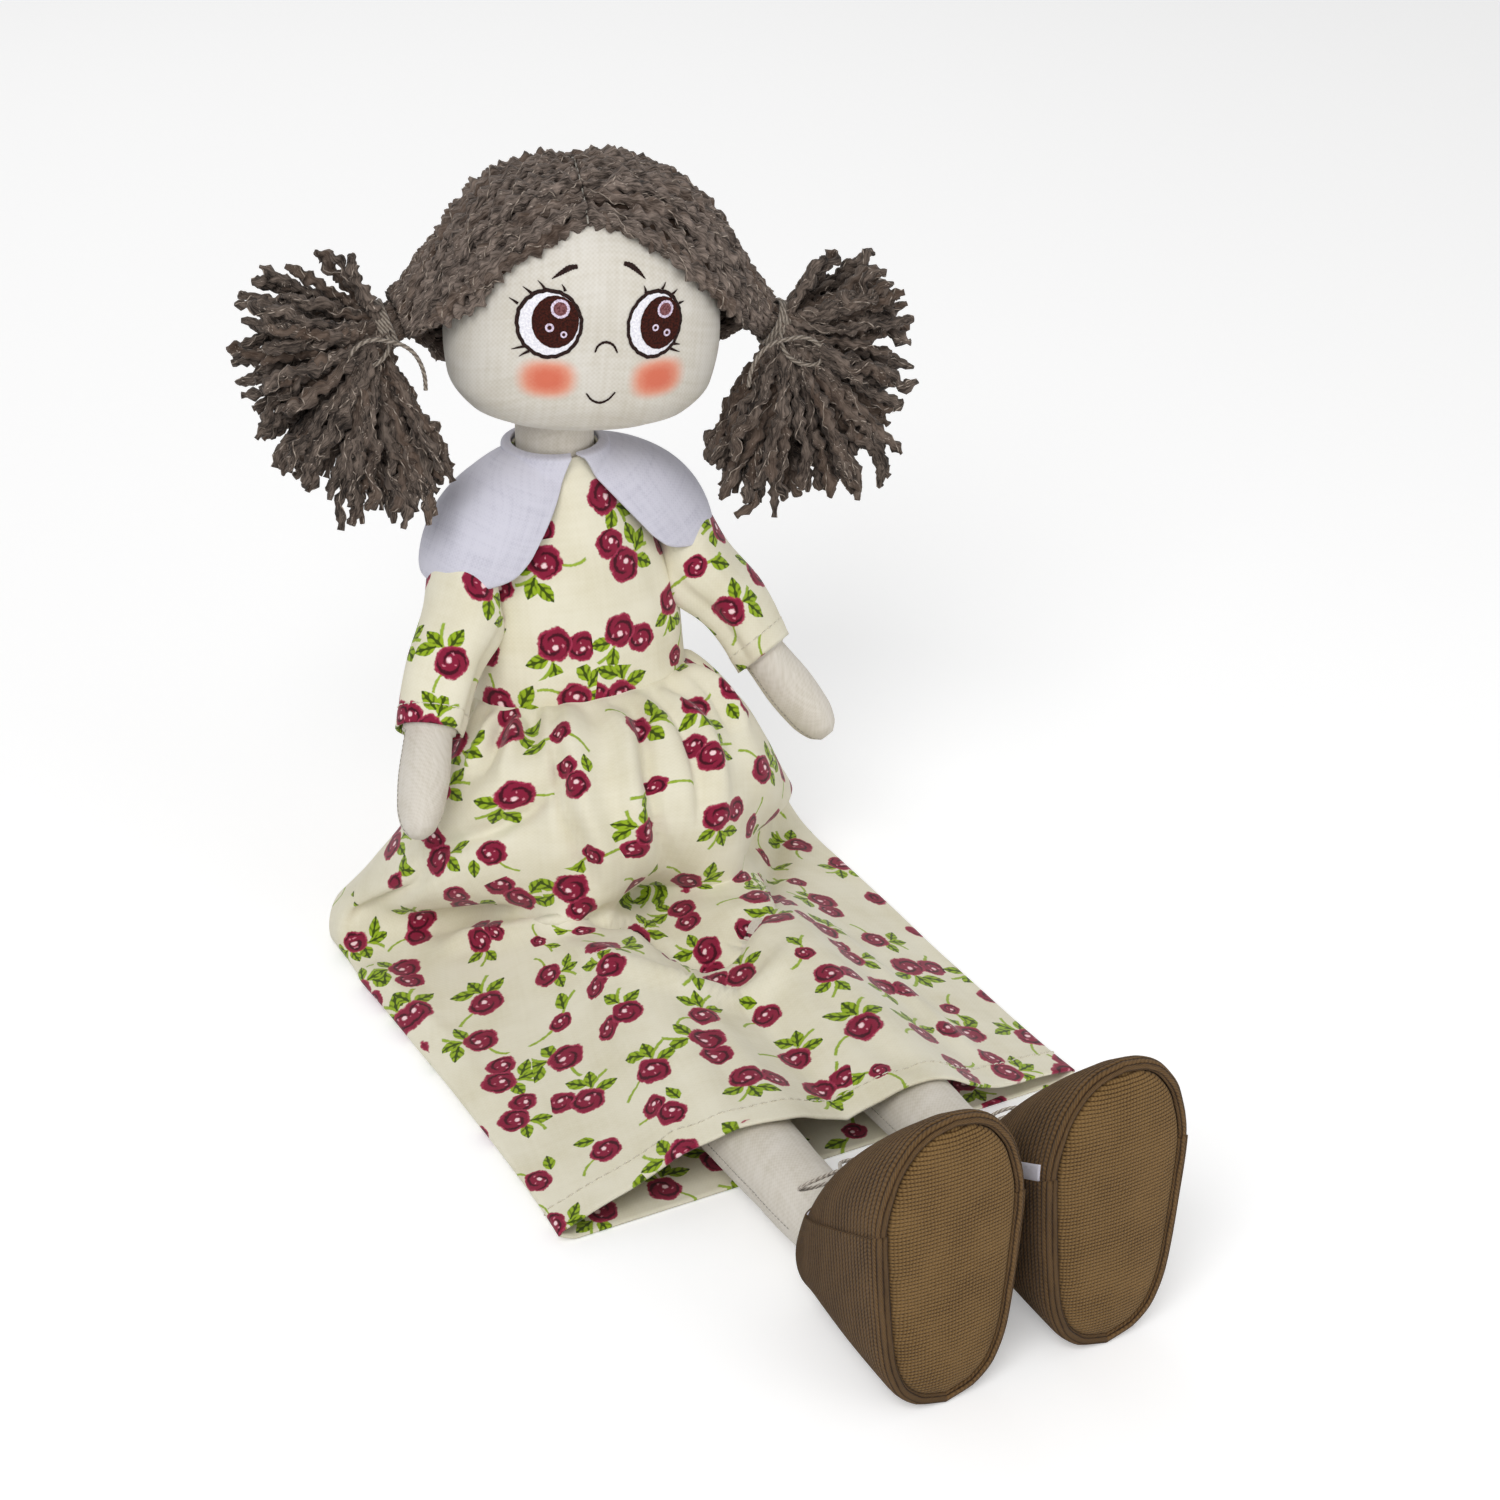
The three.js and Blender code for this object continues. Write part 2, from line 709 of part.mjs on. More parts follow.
// Place along the leg, forward share, lift share of the leg's height, tilt of the section and
// half-sizes as shares of the leg's radius.
const legShares = [
  [0, 0, -0.38, 0, 1.12, 0.14],
  [0.06, 0.035, -0.26, 0, 1.14, 0.42],
  [0.12, 0.085, -0.06, 0, 1.1, 0.8],
  [0.2, 0.16, 0, 0, 1.03, 1],
  [0.34, 0.33, 0, 0, 1, 1],
  [0.48, 0.52, 0, 0, 0.94, 0.94],
  [0.6, 0.7, 0, 0, 0.87, 0.87],
  [0.7, 0.86, 0, 0, 0.8, 0.8],
];
// The foot: place, distance from the sole's inner face and height as shares of the sole's
// length, tilt of the section, and half-sizes as shares of the sole's half-width.
const footShares = [
  [0, 0.29, 0.175, 0.06, 0.53, 0.53],
  [0.15, 0.21, 0.2, 0.4, 0.64, 0.6],
  [0.3, 0.155, 0.275, 0.78, 0.7, 0.58],
  [0.45, 0.142, 0.42, 1, 0.78, 0.5],
  [0.62, 0.12, 0.6, 1, 0.83, 0.4],
  [0.8, 0.092, 0.78, 1, 0.78, 0.28],
  [0.93, 0.056, 0.88, 1, 0.56, 0.13],
  [1, 0.05, 0.92, 1, 0.3, 0.07],
];
const footSteps = 7;
const insoleY = soleY + soleThickness;
const legTopY = hipY - flapLength - seamGap;

function makeLeg(side) {
  const ankleY = insoleY + footShares[0][1] * soleLength;
  const centreX = side * legX;
  const rings = legShares.map(([, way, lift, , across, thick]) => {
    const centre = point(centreX, lerp(legTopY, ankleY, way), legZ + lift * legZ);
    return ellipseRing(centre, acrossX, alongZ, legRadius * across, legRadius * thick, 2, limbSides);
  });
  for (let i = 0; i <= footSteps; i++) {
    const [out, up, tilt, across, thick] = readShares(footShares, i / footSteps);
    const centre = point(centreX, insoleY + out * soleLength, up * soleLength);
    const lean = tilt * Math.PI * half;
    const along = point(0, Math.sin(lean), Math.cos(lean));
    const wide = soleHalfWidth * across;
    rings.push(ellipseRing(centre, acrossX, along, wide, soleHalfWidth * thick, 2, limbSides));
  }
  return stuffed(rings);
}

// Shoes: a flat sole, a quarter round the heel and a vamp over the toes

const shoeSides = 28;
const shoeSteps = 4;
const toeSlopePower = 1.25;
const sidePower = 3;
// Half-width of the sole along its length, from heel to toe.
const soleShares = [
  [0, 0],
  [0.03, 0.4],
  [0.1, 0.68],
  [0.22, 0.84],
  [0.45, 0.94],
  [0.68, 1],
  [0.84, 0.86],
  [0.94, 0.6],
  [0.985, 0.32],
  [1, 0],
];

// A point of the sole's outline; the turn runs from the heel round the outer side to the toe.
function soleEdge(turn, inset) {
  const share = half - half * Math.cos(turn);
  const wide = soleHalfWidth * Math.sign(Math.sin(turn)) * readShares(soleShares, share)[0];
  const middle = soleLength * half;
  return {
    x: wide * (1 - inset / soleHalfWidth),
    z: middle + (share * soleLength - middle) * (1 - inset / middle),
  };
}

function openingEdge(turn, inset) {
  return {
    x: (openingHalfWidth - inset) * Math.sin(turn),
    z: openingHalfLength - (openingHalfLength - inset) * Math.cos(turn),
  };
}

function makeSole(side) {
  const outline = [];
  for (let k = 0; k < shoeSides; k++) {
    const { x, z } = soleEdge((2 * Math.PI * k) / shoeSides, 0);
    outline.push(point(side * legX + x, 0, z));
  }
  const ring = (y) => outline.map((p) => point(p.x, y, p.z));
  return stuffed([ring(soleY), ring(insoleY - seamGap)]);
}

function upperRings(side, inset) {
  const rings = [];
  for (let i = 0; i <= shoeSteps; i++) {
    const rise = i / shoeSteps;
    const ring = [];
    for (let k = 0; k < shoeSides; k++) {
      const turn = (2 * Math.PI * k) / shoeSides;
      const toeward = clamp(-Math.cos(turn), 0, 1);
      const draw = rise ** lerp(sidePower, toeSlopePower, toeward);
      const low = soleEdge(turn, inset);
      const high = openingEdge(turn, inset);
      ring.push(point(
        side * legX + lerp(low.x, high.x, draw),
        insoleY + rise * shoeDepth,
        lerp(low.z, high.z, draw),
      ));
    }
    rings.push(ring);
  }
  return rings;
}

// The slanted cut between quarter and vamp, seen from the side: at the top edge and at the sole.
const seamTopShare = 0.36;
const seamSoleShare = 0.66;

function seamBlock(side, shift) {
  const topY = insoleY + shoeDepth;
  const slope = (seamSoleShare - seamTopShare) * soleLength / shoeDepth;
  const lowY = insoleY - cutOverrun;
  const highY = topY + cutOverrun;
  const lowZ = seamSoleShare * soleLength + slope * cutOverrun + shift;
  const highZ = seamTopShare * soleLength - slope * cutOverrun + shift;
  const outline = new THREE.Shape([
    new THREE.Vector2(lowY, lowZ),
    new THREE.Vector2(highY, highZ),
    new THREE.Vector2(highY, -cutOverrun),
    new THREE.Vector2(lowY, -cutOverrun),
  ]);
  const width = 2 * (soleHalfWidth + cutOverrun);
  return toSolid(pushAlongX(outline, width, side * legX));
}

function makeUpper(side) {
  const shell = toSolid(clothTube(upperRings(side, 0), upperRings(side, shoeWall)));
  return {
    quarter: fromSolid(shell.intersect(seamBlock(side, -seamGap * half))),
    vamp: fromSolid(shell.subtract(seamBlock(side, seamGap * half))),
  };
}

// White lining that shows at the shoe's opening
function makeLining(side) {
  const topY = insoleY + shoeDepth + liningProud;
  const outer = [];
  const inner = [];
  for (const y of [topY - liningLength, topY]) {
    const centre = point(side * legX, y, openingHalfLength);
    const inset = shoeWall + seamGap;
    const across = openingHalfWidth - inset;
    const along = openingHalfLength - inset;
    const innerAcross = across - liningWall;
    outer.push(ellipseRing(centre, acrossX, alongZ, across, along, 2, limbSides));
    inner.push(ellipseRing(centre, acrossX, alongZ, innerAcross, along - liningWall, 2, limbSides));
  }
  return clothTube(outer, inner);
}

// Threads: one unbroken tube along a curve through hand-chosen points

function thread(points, radius) {
  const curve = new THREE.CatmullRomCurve3(points, false, 'centripetal');
  const steps = Math.round(curve.getLength() / (2 * radius * threadStepDiameters));
  const section = new THREE.Shape();
  for (let k = 0; k < threadSides; k++) {
    const angle = (2 * Math.PI * k) / threadSides;
    const x = radius * Math.cos(angle);
    const y = radius * Math.sin(angle);
    if (k === 0) section.moveTo(x, y);
    else section.lineTo(x, y);
  }
  section.closePath();
  return new THREE.ExtrudeGeometry(section, { steps, extrudePath: curve, bevelEnabled: false });
}

// Length of a thread and its least gap to itself, measured on spots about a millimetre apart that
// are more than a few spots from each other along it.
const nearSpots = 6;
function leastGap(points, radius) {
  const curve = new THREE.CatmullRomCurve3(points, false, 'centripetal');
  const length = curve.getLength();
  const spots = curve.getSpacedPoints(Math.round(length));
  let least = Infinity;
  for (let i = 0; i < spots.length; i++) {
    for (let j = i + nearSpots; j < spots.length; j++) {
      least = Math.min(least, spots[i].distanceTo(spots[j]) - 2 * radius);
    }
  }
  return { length, least };
}

// Bow of the lace on the instep: across the shoe, up the slope of the instep, and off it
const bowRoute = [
  [-5.5, 10.5, 0.9], [-3.8, 6.5, 1.2], [-1.6, 2.6, 1.3], [0.6, 0, 1.2], [4, -2.4, 1.3],
  [8.4, -3.6, 1.6], [11.6, -1.8, 1.9], [11, 1.2, 2.1], [7, 2, 2.4], [2.4, 1, 2.8],
  [-1.8, -0.6, 2.9], [-6, -2.6, 2.6], [-10, -2.9, 2.1], [-12, -0.6, 1.9], [-10.2, 2, 2.2],
  [-6, 2.3, 3.2], [-1.6, 1.4, 4.3], [1.4, 2.8, 4.2], [3.6, 6.4, 2.8], [5.6, 10.8, 1.4], [6.6, 14, 1],
];

function bowPoints(side) {
  const topY = insoleY + shoeDepth;
  const frontZ = 2 * openingHalfLength;
  const slope = point(0, -shoeDepth, soleLength - frontZ).normalize();
  const off = point(0, slope.z, -slope.y);
  const centre = point(side * legX, topY, frontZ).addScaledVector(slope, laceRadius);
  return bowRoute.map(([across, up, out]) => centre.clone()
    .addScaledVector(acrossX, side * across)
    .addScaledVector(slope, up)
    .addScaledVector(off, out + laceRadius));
}

for (const [side, foot] of [[-1, 'right'], [1, 'left']]) {
  const upper = makeUpper(side);
  addPiece(doll, `leg_${foot}`, makeLeg(side), materials.skin);
  addPiece(doll, `lining_${foot}`, makeLining(side), materials.linen);
  addPiece(doll, `sole_${foot}`, makeSole(side), materials.sole);
  addPiece(doll, `vamp_${foot}`, upper.vamp, materials.shoe);
  addPiece(doll, `quarter_${foot}`, upper.quarter, materials.shoe);
  addPiece(doll, `lace_${foot}`, thread(bowPoints(side), laceRadius), materials.thread);
}
const bowCheck = leastGap(bowPoints(1), laceRadius);
console.log(`shoe bow: ${bowCheck.length.toFixed(1)} mm, least gap ${bowCheck.least.toFixed(2)} mm`);

// Head: wide and flat below, drawn in at the crown

const neckTurn = new THREE.Group();
neckTurn.position.set(0, neckY, 0);
neckTurn.rotation.z = -degToRad(headTurnDeg);
doll.add(neckTurn);
// The head leans towards the doll's left, about the middle of its underside.
const head = new THREE.Group();
head.rotation.y = degToRad(headLeanDeg);
head.position.set(headShift, 0, -chinZ).applyEuler(head.rotation).add(point(0, 0, chinZ));
head.updateMatrix();
neckTurn.add(head);
const faceY = headY - neckY;

// Height share, half-width share and half-depth share.
const headShares = [
  [0, 0.6, 0.52],
  [0.05, 0.8, 0.71],
  [0.17, 0.96, 0.89],
  [0.34, 1, 0.97],
  [0.55, 0.965, 1],
  [0.72, 0.87, 0.95],
  [0.86, 0.69, 0.78],
  [0.95, 0.43, 0.5],
  [1, 0.12, 0.16],
];
const headSteps = 12;

function headAt(z, grow) {
  const [width, depth] = readShares(headShares, (z - chinZ) / (crownZ - chinZ));
  return { width: headHalfWidth * width + grow, depth: headHalfDepth * depth + grow };
}

function headSolid(grow) {
  const rings = [];
  for (let i = 0; i <= headSteps; i++) {
    const share = half - half * Math.cos((Math.PI * i) / headSteps);
    const { width, depth } = headAt(lerp(chinZ, crownZ, share), grow);
    const z = lerp(chinZ - grow, crownZ + grow, share);
    rings.push(ellipseRing(point(0, faceY, z), acrossX, alongY, width, depth, headPower));
  }
  return toSolid(stuffed(rings));
}

function makeHead() {
  const pocket = new THREE.CylinderGeometry(
    neckRadius + turnGap, neckRadius + turnGap, neckPocketDepth + cutOverrun, ringSides,
  );
  pocket.rotateX(Math.PI * half);
  pocket.translate(0, 0, chinZ + (neckPocketDepth - cutOverrun) * half);
  pocket.applyMatrix4(head.matrix.clone().invert());
  return fromSolid(headSolid(0).subtract(toSolid(pocket)));
}
addPiece(head, 'head', makeHead(), materials.skin);

// Distance from the head's middle to its surface in a direction.
const headMiddle = point(0, faceY, headZ);
function headReach(direction) {
  let low = 0;
  let high = headHalfWidth + headHalfDepth;
  for (let i = 0; i < ringSides; i++) {
    const middle = (low + high) * half;
    const p = direction.clone().multiplyScalar(middle);
    const { width, depth } = headAt(clamp(headZ + p.z, chinZ, crownZ), 0);
    const within = Math.abs(p.x / width) ** headPower + Math.abs(p.y / depth) ** headPower < 1
      && headZ + p.z > chinZ && headZ + p.z < crownZ;
    if (within) low = middle;
    else high = middle;
  }
  return low;
}

// Hair caps: strands run from the parting round the head to the tie on each side

const partingFrontDeg = 52;
const partingBackDeg = 212;
const tieSpreadDeg = 125;
const strandSteps = 7;
const capColumns = 3 * hairRidgeCount;
const hairRootShare = 0.4;
const gatherPower = 6;
const rimPower = 12;

const tieTilt = degToRad(tieTiltDeg);
const tieOut = point(Math.cos(tieTilt), 0, -Math.sin(tieTilt));
const tieUp = point(Math.sin(tieTilt), 0, Math.cos(tieTilt));
const tieCentre = point(tieX, faceY, tieZ);

function partingDirection(across) {
  const angle = degToRad(lerp(partingFrontDeg, partingBackDeg, across));
  return point(0, -Math.cos(angle), Math.sin(angle));
}

function tieDirection(across) {
  const angle = degToRad(lerp(-tieSpreadDeg, tieSpreadDeg, across));
  return tieCentre.clone().sub(headMiddle)
    .addScaledVector(tieUp, tieRadius * Math.cos(angle))
    .addScaledVector(alongY, tieRadius * Math.sin(angle));
}

// A point of the hair on the doll's left, along a strand and across the strands.
function hairPoint(along, across, thickness) {
  const from = partingDirection(across);
  const to = tieDirection(across);
  const tieReach = to.length();
  to.normalize();
  const angle = from.angleTo(to);
  const direction = from.clone().multiplyScalar(Math.sin((1 - along) * angle) / Math.sin(angle))
    .addScaledVector(to, Math.sin(along * angle) / Math.sin(angle));
  direction.z -= hairSagShare * (2 * across - 1) ** 4 * Math.sin(Math.PI * along);
  direction.normalize();
  const reach = headReach(direction) + thickness;
  const gather = along ** gatherPower;
  return headMiddle.clone().addScaledVector(direction, lerp(reach, tieReach, gather));
}

function hairCap(side) {
  const face = [];
  const back = [];
  for (let i = 0; i <= strandSteps; i++) {
    const along = i / strandSteps;
    const faceRow = [];
    const backRow = [];
    for (let j = 0; j <= capColumns; j++) {
      const across = j / capColumns;
      const wave = Math.cos(2 * Math.PI * hairRidgeCount * across);
      const ridge = hairRidge * wave * Math.sin(Math.PI * along);
      const rim = Math.sqrt(1 - Math.abs(2 * across - 1) ** rimPower);
      const p = hairPoint(along, across, (hairThickness + ridge) * lerp(half, 1, rim));
      faceRow.push(point(side * p.x, p.y, p.z));
      const root = p.clone().sub(headMiddle).multiplyScalar(hairRootShare).add(headMiddle);
      backRow.push(point(side * root.x, root.y, root.z));
    }
    face.push(faceRow);
    back.push(backRow);
  }
  const bunch = new THREE.CylinderGeometry(
    tieRadius - seamGap, tieRadius + seamGap, bunchLength, ringSides * half,
  );
  bunch.rotateZ(-Math.PI * half - tieTilt);
  const bunchCentre = tieCentre.clone().addScaledVector(tieOut, -bunchLength * half - bunchSetback);
  bunch.translate(bunchCentre.x, bunchCentre.y, bunchCentre.z);
  const socket = new THREE.SphereGeometry(bunchRadius + turnGap, ringSides * half, ringSides * half * half);
  socket.translate(tieCentre.x, tieCentre.y, tieCentre.z);
  const slotReach = 2 * (headHalfWidth + hairThickness + cutOverrun);
  const slot = new THREE.BoxGeometry(2 * partingHalfWidth, slotReach, slotReach);
  slot.translate(headMiddle.x, headMiddle.y, headMiddle.z);
  const handed = (geometry) => toSolid(side > 0 ? geometry : mirrorX(geometry));
  const cap = toSolid(clothSheet(face, back)).add(handed(bunch))
    .subtract(toSolid(slot))
    .subtract(headSolid(seamGap))
    .subtract(handed(socket));
  return fromSolid(cap);
}
addPiece(head, 'hair_cap_right', hairCap(-1), materials.hair);
addPiece(head, 'hair_cap_left', hairCap(1), materials.hair);

// The seam of thread that holds the hair down along the parting
const partingSteps = 14;
function makePartingStitch() {
  const top = [];
  const low = [];
  const halfWidth = partingHalfWidth - seamGap;
  for (let i = 0; i <= partingSteps; i++) {
    const direction = partingDirection(i / partingSteps);
    const reach = headReach(direction);
    const row = (distance) => [-halfWidth, 0, halfWidth].map((x) => headMiddle.clone()
      .addScaledVector(direction, distance).add(point(x, 0, 0)));
    top.push(row(reach + hairThickness * half));
    low.push(row(reach + 2 * seamGap));
  }
  return clothSheet(top, low);
}
addPiece(head, 'parting_stitch', makePartingStitch(), materials.thread);

// Pigtails: a round root that turns in the hair, drawn in by the tie, then a fluted fan

const tailSides = 36;
// Distance from the tie as a share of the reach, opening share of the fan, and thickness share.
const tailShares = [
  [0.17, 0.62, 0.4],
  [0.28, 0.82, 0.6],
  [0.45, 0.95, 0.82],
  [0.65, 1, 0.95],
  [0.85, 1, 1],
  [1, 1, 0.92],
];
const tailSteps = 5;

function tailRings() {
  const rings = [];
  const rootSteps = 3;
  for (let i = 0; i < rootSteps; i++) {
    const angle = (Math.PI * half * (i + half)) / rootSteps;
    const radius = bunchRadius * Math.sin(angle);
    const centre = point(-bunchRadius * Math.cos(angle), 0, 0);
    rings.push(ellipseRing(centre, alongZ, alongY, radius, radius, 2, tailSides));
  }
  const neckEnd = tieStart + tieWidth + seamGap;
  for (const x of [0, tieStart, neckEnd]) {
    rings.push(ellipseRing(point(x, 0, 0), alongZ, alongY, bunchRadius, bunchRadius, 2, tailSides));
  }
  for (let i = 0; i <= tailSteps; i++) {
    const share = lerp(tailShares[0][0], 1, i / tailSteps);
    const [open, thick] = readShares(tailShares, share);
    const ring = [];
    for (let k = 0; k < tailSides; k++) {
      const angle = (2 * Math.PI * k) / tailSides;
      const spread = half + half * Math.cos(angle);
      const topDeg = tailTopDeg + tieTiltDeg;
      const lowDeg = tailLowDeg + tieTiltDeg;
      const middleDeg = (topDeg + lowDeg) * half;
      const fan = (topDeg - lowDeg) * open * (spread - half);
      const turn = degToRad(middleDeg * Math.min(1, open + share) + fan);
      const ripple = flute * Math.cos(fluteCount * angle) * share;
      const reach = lerp(tailDownReach, tailOutReach, spread) * share + neckEnd * (1 - share) + ripple;
      const lean = tailLean * share * share * clamp(-Math.sin(turn - tieTilt), 0, 1);
      const depth = (tailHalfDepth * thick + ripple) * bend(Math.sin(angle), tailPower);
      ring.push(point(reach * Math.cos(turn), depth - lean, reach * Math.sin(turn)));
    }
    rings.push(ring);
  }
  return rings;
}

// Rings closed by a fan at the root and by quads between front and back at the fan's end.
function makeTail() {
  const rings = tailRings();
  const points = rings.flat();
  const triangles = [];
  for (let i = 0; i + 1 < rings.length; i++) {
    bridge(triangles, i * tailSides, (i + 1) * tailSides, tailSides);
  }
  const hub = points.push(point(-bunchRadius, 0, 0)) - 1;
  for (let k = 0; k < tailSides; k++) triangles.push([hub, (k + 1) % tailSides, k]);
  const last = (rings.length - 1) * tailSides;
  const mirrored = (k) => last + ((tailSides - k) % tailSides);
  for (let k = 0; k < tailSides * half; k++) {
    const quad = [last + k, last + k + 1, mirrored(k + 1), mirrored(k)];
    if (quad[0] !== quad[3]) triangles.push([quad[0], quad[1], quad[3]]);
    if (quad[1] !== quad[2]) triangles.push([quad[1], quad[2], quad[3]]);
  }
  return closedBody(points, triangles);
}

function makeTie() {
  const inner = bunchRadius + seamGap;
  const turns = 3;
  const pitch = tieWidth / turns;
  const profile = [new THREE.Vector2(inner, tieStart)];
  for (let i = 0; i < turns; i++) {
    const low = tieStart + i * pitch;
    profile.push(new THREE.Vector2(inner + tieThickness * half, low));
    profile.push(new THREE.Vector2(inner + tieThickness, low + pitch * half));
  }
  profile.push(new THREE.Vector2(inner + tieThickness * half, tieStart + tieWidth));
  profile.push(new THREE.Vector2(inner, tieStart + tieWidth));
  profile.push(new THREE.Vector2(inner, tieStart));
  const tie = new THREE.LatheGeometry(profile, ringSides * half);
  tie.rotateZ(-Math.PI * half);
  return tie;
}

// Loose end of the tie: a loop and a tail in front of the bunch, out from the tie, forward, up
const tailRoute = [
  [5, -7.35, -0.4], [5.6, -9.2, -2.2], [8.6, -10.4, -4.4], [13, -11.4, -4.6], [16.4, -12.4, -2.4],
  [16, -13.2, 0.8], [12.4, -13, 2.6], [8.6, -12.4, 2], [5.6, -12.2, 0], [2.8, -12, -2.4],
  [1, -12, -5.4], [0.4, -12.2, -9], [0.8, -12.4, -12.6], [2, -12.8, -16],
];

for (const [side, place] of [[-1, 'right'], [1, 'left']]) {
  const tail = new THREE.Group();
  tail.position.set(side * tieCentre.x, tieCentre.y, tieCentre.z);
  head.add(tail);
  // The left pigtail's own X axis runs out along its tie; the right one is its mirror image.
  const onTie = (geometry) => {
    geometry.rotateY(tieTilt);
    return side > 0 ? geometry : mirrorX(geometry);
  };
  const points = tailRoute.map(([x, y, z]) => point(x, y, z));
  addPiece(tail, `pigtail_${place}`, onTie(makeTail()), materials.hair);
  addPiece(tail, `hair_tie_${place}`, onTie(makeTie()), materials.thread);
  addPiece(tail, `tie_tail_${place}`, onTie(thread(points, threadRadius)), materials.thread);
}
const tailCheck = leastGap(tailRoute.map(([x, y, z]) => point(x, y, z)), threadRadius);
console.log(`tie tail: ${tailCheck.length.toFixed(1)} mm, least gap ${tailCheck.least.toFixed(2)} mm`);

// Printed face: thin films on the front of the head

function facePoint(x, z, lift) {
  const { width, depth } = headAt(z, 0);
  const share = clamp(Math.abs(x) / width, 0, 1);
  const y = faceY - depth * (1 - share ** headPower) ** (1 / headPower) - lift;
  return point(x, y, z);
}

// A film from a grid of (x, z) places on the face, at a level above the cloth.
function film(places, level) {
  const low = seamGap + level * (filmThickness + seamGap);
  const grid = (lift) => places.map((row) => row.map(([x, z]) => facePoint(x, z, lift)));
  return clothSheet(grid(low + filmThickness), grid(low));
}

// An oval as a grid: rows from bottom to top, closed by short end rows.
const ovalEndShare = 0.06;
function ovalPlaces(centreX, centreZ, halfWidth, halfHeight) {
  const rows = 6;
  const columns = 4;
  const places = [];
  for (let i = 0; i <= rows; i++) {
    const angle = Math.PI * lerp(ovalEndShare, 1 - ovalEndShare, i / rows);
    const wide = halfWidth * Math.sin(angle);
    const z = centreZ - halfHeight * Math.cos(angle);
    const row = [];
    for (let j = 0; j <= columns; j++) row.push([centreX + wide * ((2 * j) / columns - 1), z]);
    places.push(row);
  }
  return places;
}

// A tapered stroke along a curve of (x, z) places.
function strokePlaces(spots, halfWidthAt) {
  const upper = [];
  const lower = [];
  spots.forEach(([x, z], i) => {
    const wide = halfWidthAt(i / (spots.length - 1));
    upper.push([x, z + wide]);
    lower.push([x, z - wide]);
  });
  return [lower, upper];
}

const strokeSteps = 6;
const browTipShare = 0.15;
const alongStroke = [...Array(strokeSteps + 1).keys()].map((i) => i / strokeSteps);
for (const [side, place] of [[-1, 'right'], [1, 'left']]) {
  const eye = ovalPlaces(side * eyeX, eyeZ, eyeHalfWidth, eyeHalfHeight);
  addPiece(head, `print_eye_${place}`, film(eye, 0), materials.eyeWhite);
  const iris = ovalPlaces(side * eyeX + irisShift, eyeZ, irisHalfWidth, irisHalfHeight);
  addPiece(head, `print_iris_${place}`, film(iris, 1), materials.ink);
  const blush = ovalPlaces(side * blushX, blushZ, blushHalfWidth, blushHalfHeight);
  addPiece(head, `print_blush_${place}`, film(blush, 0), materials.blush);
  const brow = alongStroke.map((t) => [
    side * (browX + browHalfLength * (2 * t - 1)),
    browZ - browDrop * (t - half),
  ]);
  const taper = (t) => browHalfHeight * lerp(1, browTipShare, t);
  addPiece(head, `print_brow_${place}`, film(strokePlaces(brow, taper), 0), materials.ink);
}
const nose = alongStroke.map((t) => [
  noseHalfWidth * (2 * t - 1),
  noseZ + noseRise * Math.sin(Math.PI * t),
]);
addPiece(head, 'print_nose', film(strokePlaces(nose, () => lineHalfWidth), 0), materials.ink);
const smile = alongStroke.map((t) => [
  smileHalfWidth * (2 * t - 1),
  smileZ - smileDip * Math.sin(Math.PI * t),
]);
addPiece(head, 'print_smile', film(strokePlaces(smile, () => lineHalfWidth), 0), materials.ink);

export default doll;
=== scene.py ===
import math
from functools import partialmethod

import bmesh
import bpy
import numpy as np
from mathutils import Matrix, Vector


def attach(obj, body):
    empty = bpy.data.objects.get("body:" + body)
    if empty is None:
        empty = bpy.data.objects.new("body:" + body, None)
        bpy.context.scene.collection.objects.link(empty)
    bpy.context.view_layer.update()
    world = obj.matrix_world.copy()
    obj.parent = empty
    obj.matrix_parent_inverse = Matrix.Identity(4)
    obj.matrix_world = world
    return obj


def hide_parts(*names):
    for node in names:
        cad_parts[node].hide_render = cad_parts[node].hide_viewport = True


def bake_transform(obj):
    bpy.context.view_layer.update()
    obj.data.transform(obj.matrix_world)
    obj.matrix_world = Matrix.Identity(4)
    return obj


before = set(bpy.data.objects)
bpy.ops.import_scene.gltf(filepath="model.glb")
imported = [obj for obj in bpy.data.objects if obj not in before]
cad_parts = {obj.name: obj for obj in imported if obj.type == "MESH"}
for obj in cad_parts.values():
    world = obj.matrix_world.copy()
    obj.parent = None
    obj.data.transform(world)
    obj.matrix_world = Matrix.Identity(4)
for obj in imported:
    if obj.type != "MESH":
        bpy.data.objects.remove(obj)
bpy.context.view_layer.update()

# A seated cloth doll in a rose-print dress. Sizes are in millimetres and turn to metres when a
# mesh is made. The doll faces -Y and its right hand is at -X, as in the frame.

MM = 0.001
UV_MM = 100.0
TURN = 2 * math.pi
SIDES = ((-1, "right"), (1, "left"))

# Body and dress, as in the solids
body_bottom_z = 1.9
body_half_width = 29
body_half_depth = 16.5
body_y = 8
waist_z = 74
shoulder_z = 118
shoulder_y = 14
neckline_z = 137
neck_y = 20
neck_radius = 10.6
neck_top_z = 158.5
waist_half_width = 31.2
waist_half_depth = 16.6
neckline_radius = 12.8
dress_gap = 1.3
skirt_front_reach = 134
skirt_back_reach = 43
skirt_half_width = 74
skirt_fold_power = 8

collar_eave_z = 106
collar_rise = 32.5
collar_half_width = 41.5
collar_y = 17
collar_neck_radius = 13.6
collar_cloth = 1.1

sleeve_radius = 10
cuff_radius = 8.8
cuff_place = np.array([50.6, -5.3, 74.0])
hand_place = np.array([62.0, -22.0, 53.0])
hand_radius = 7.9

leg_x = 21.5
leg_z = 13.1
leg_radius = 11.3
hip_y = -12.2
hip_z = 8
flap_half_width = 27
flap_thickness = 3.2
flap_length = 11.5

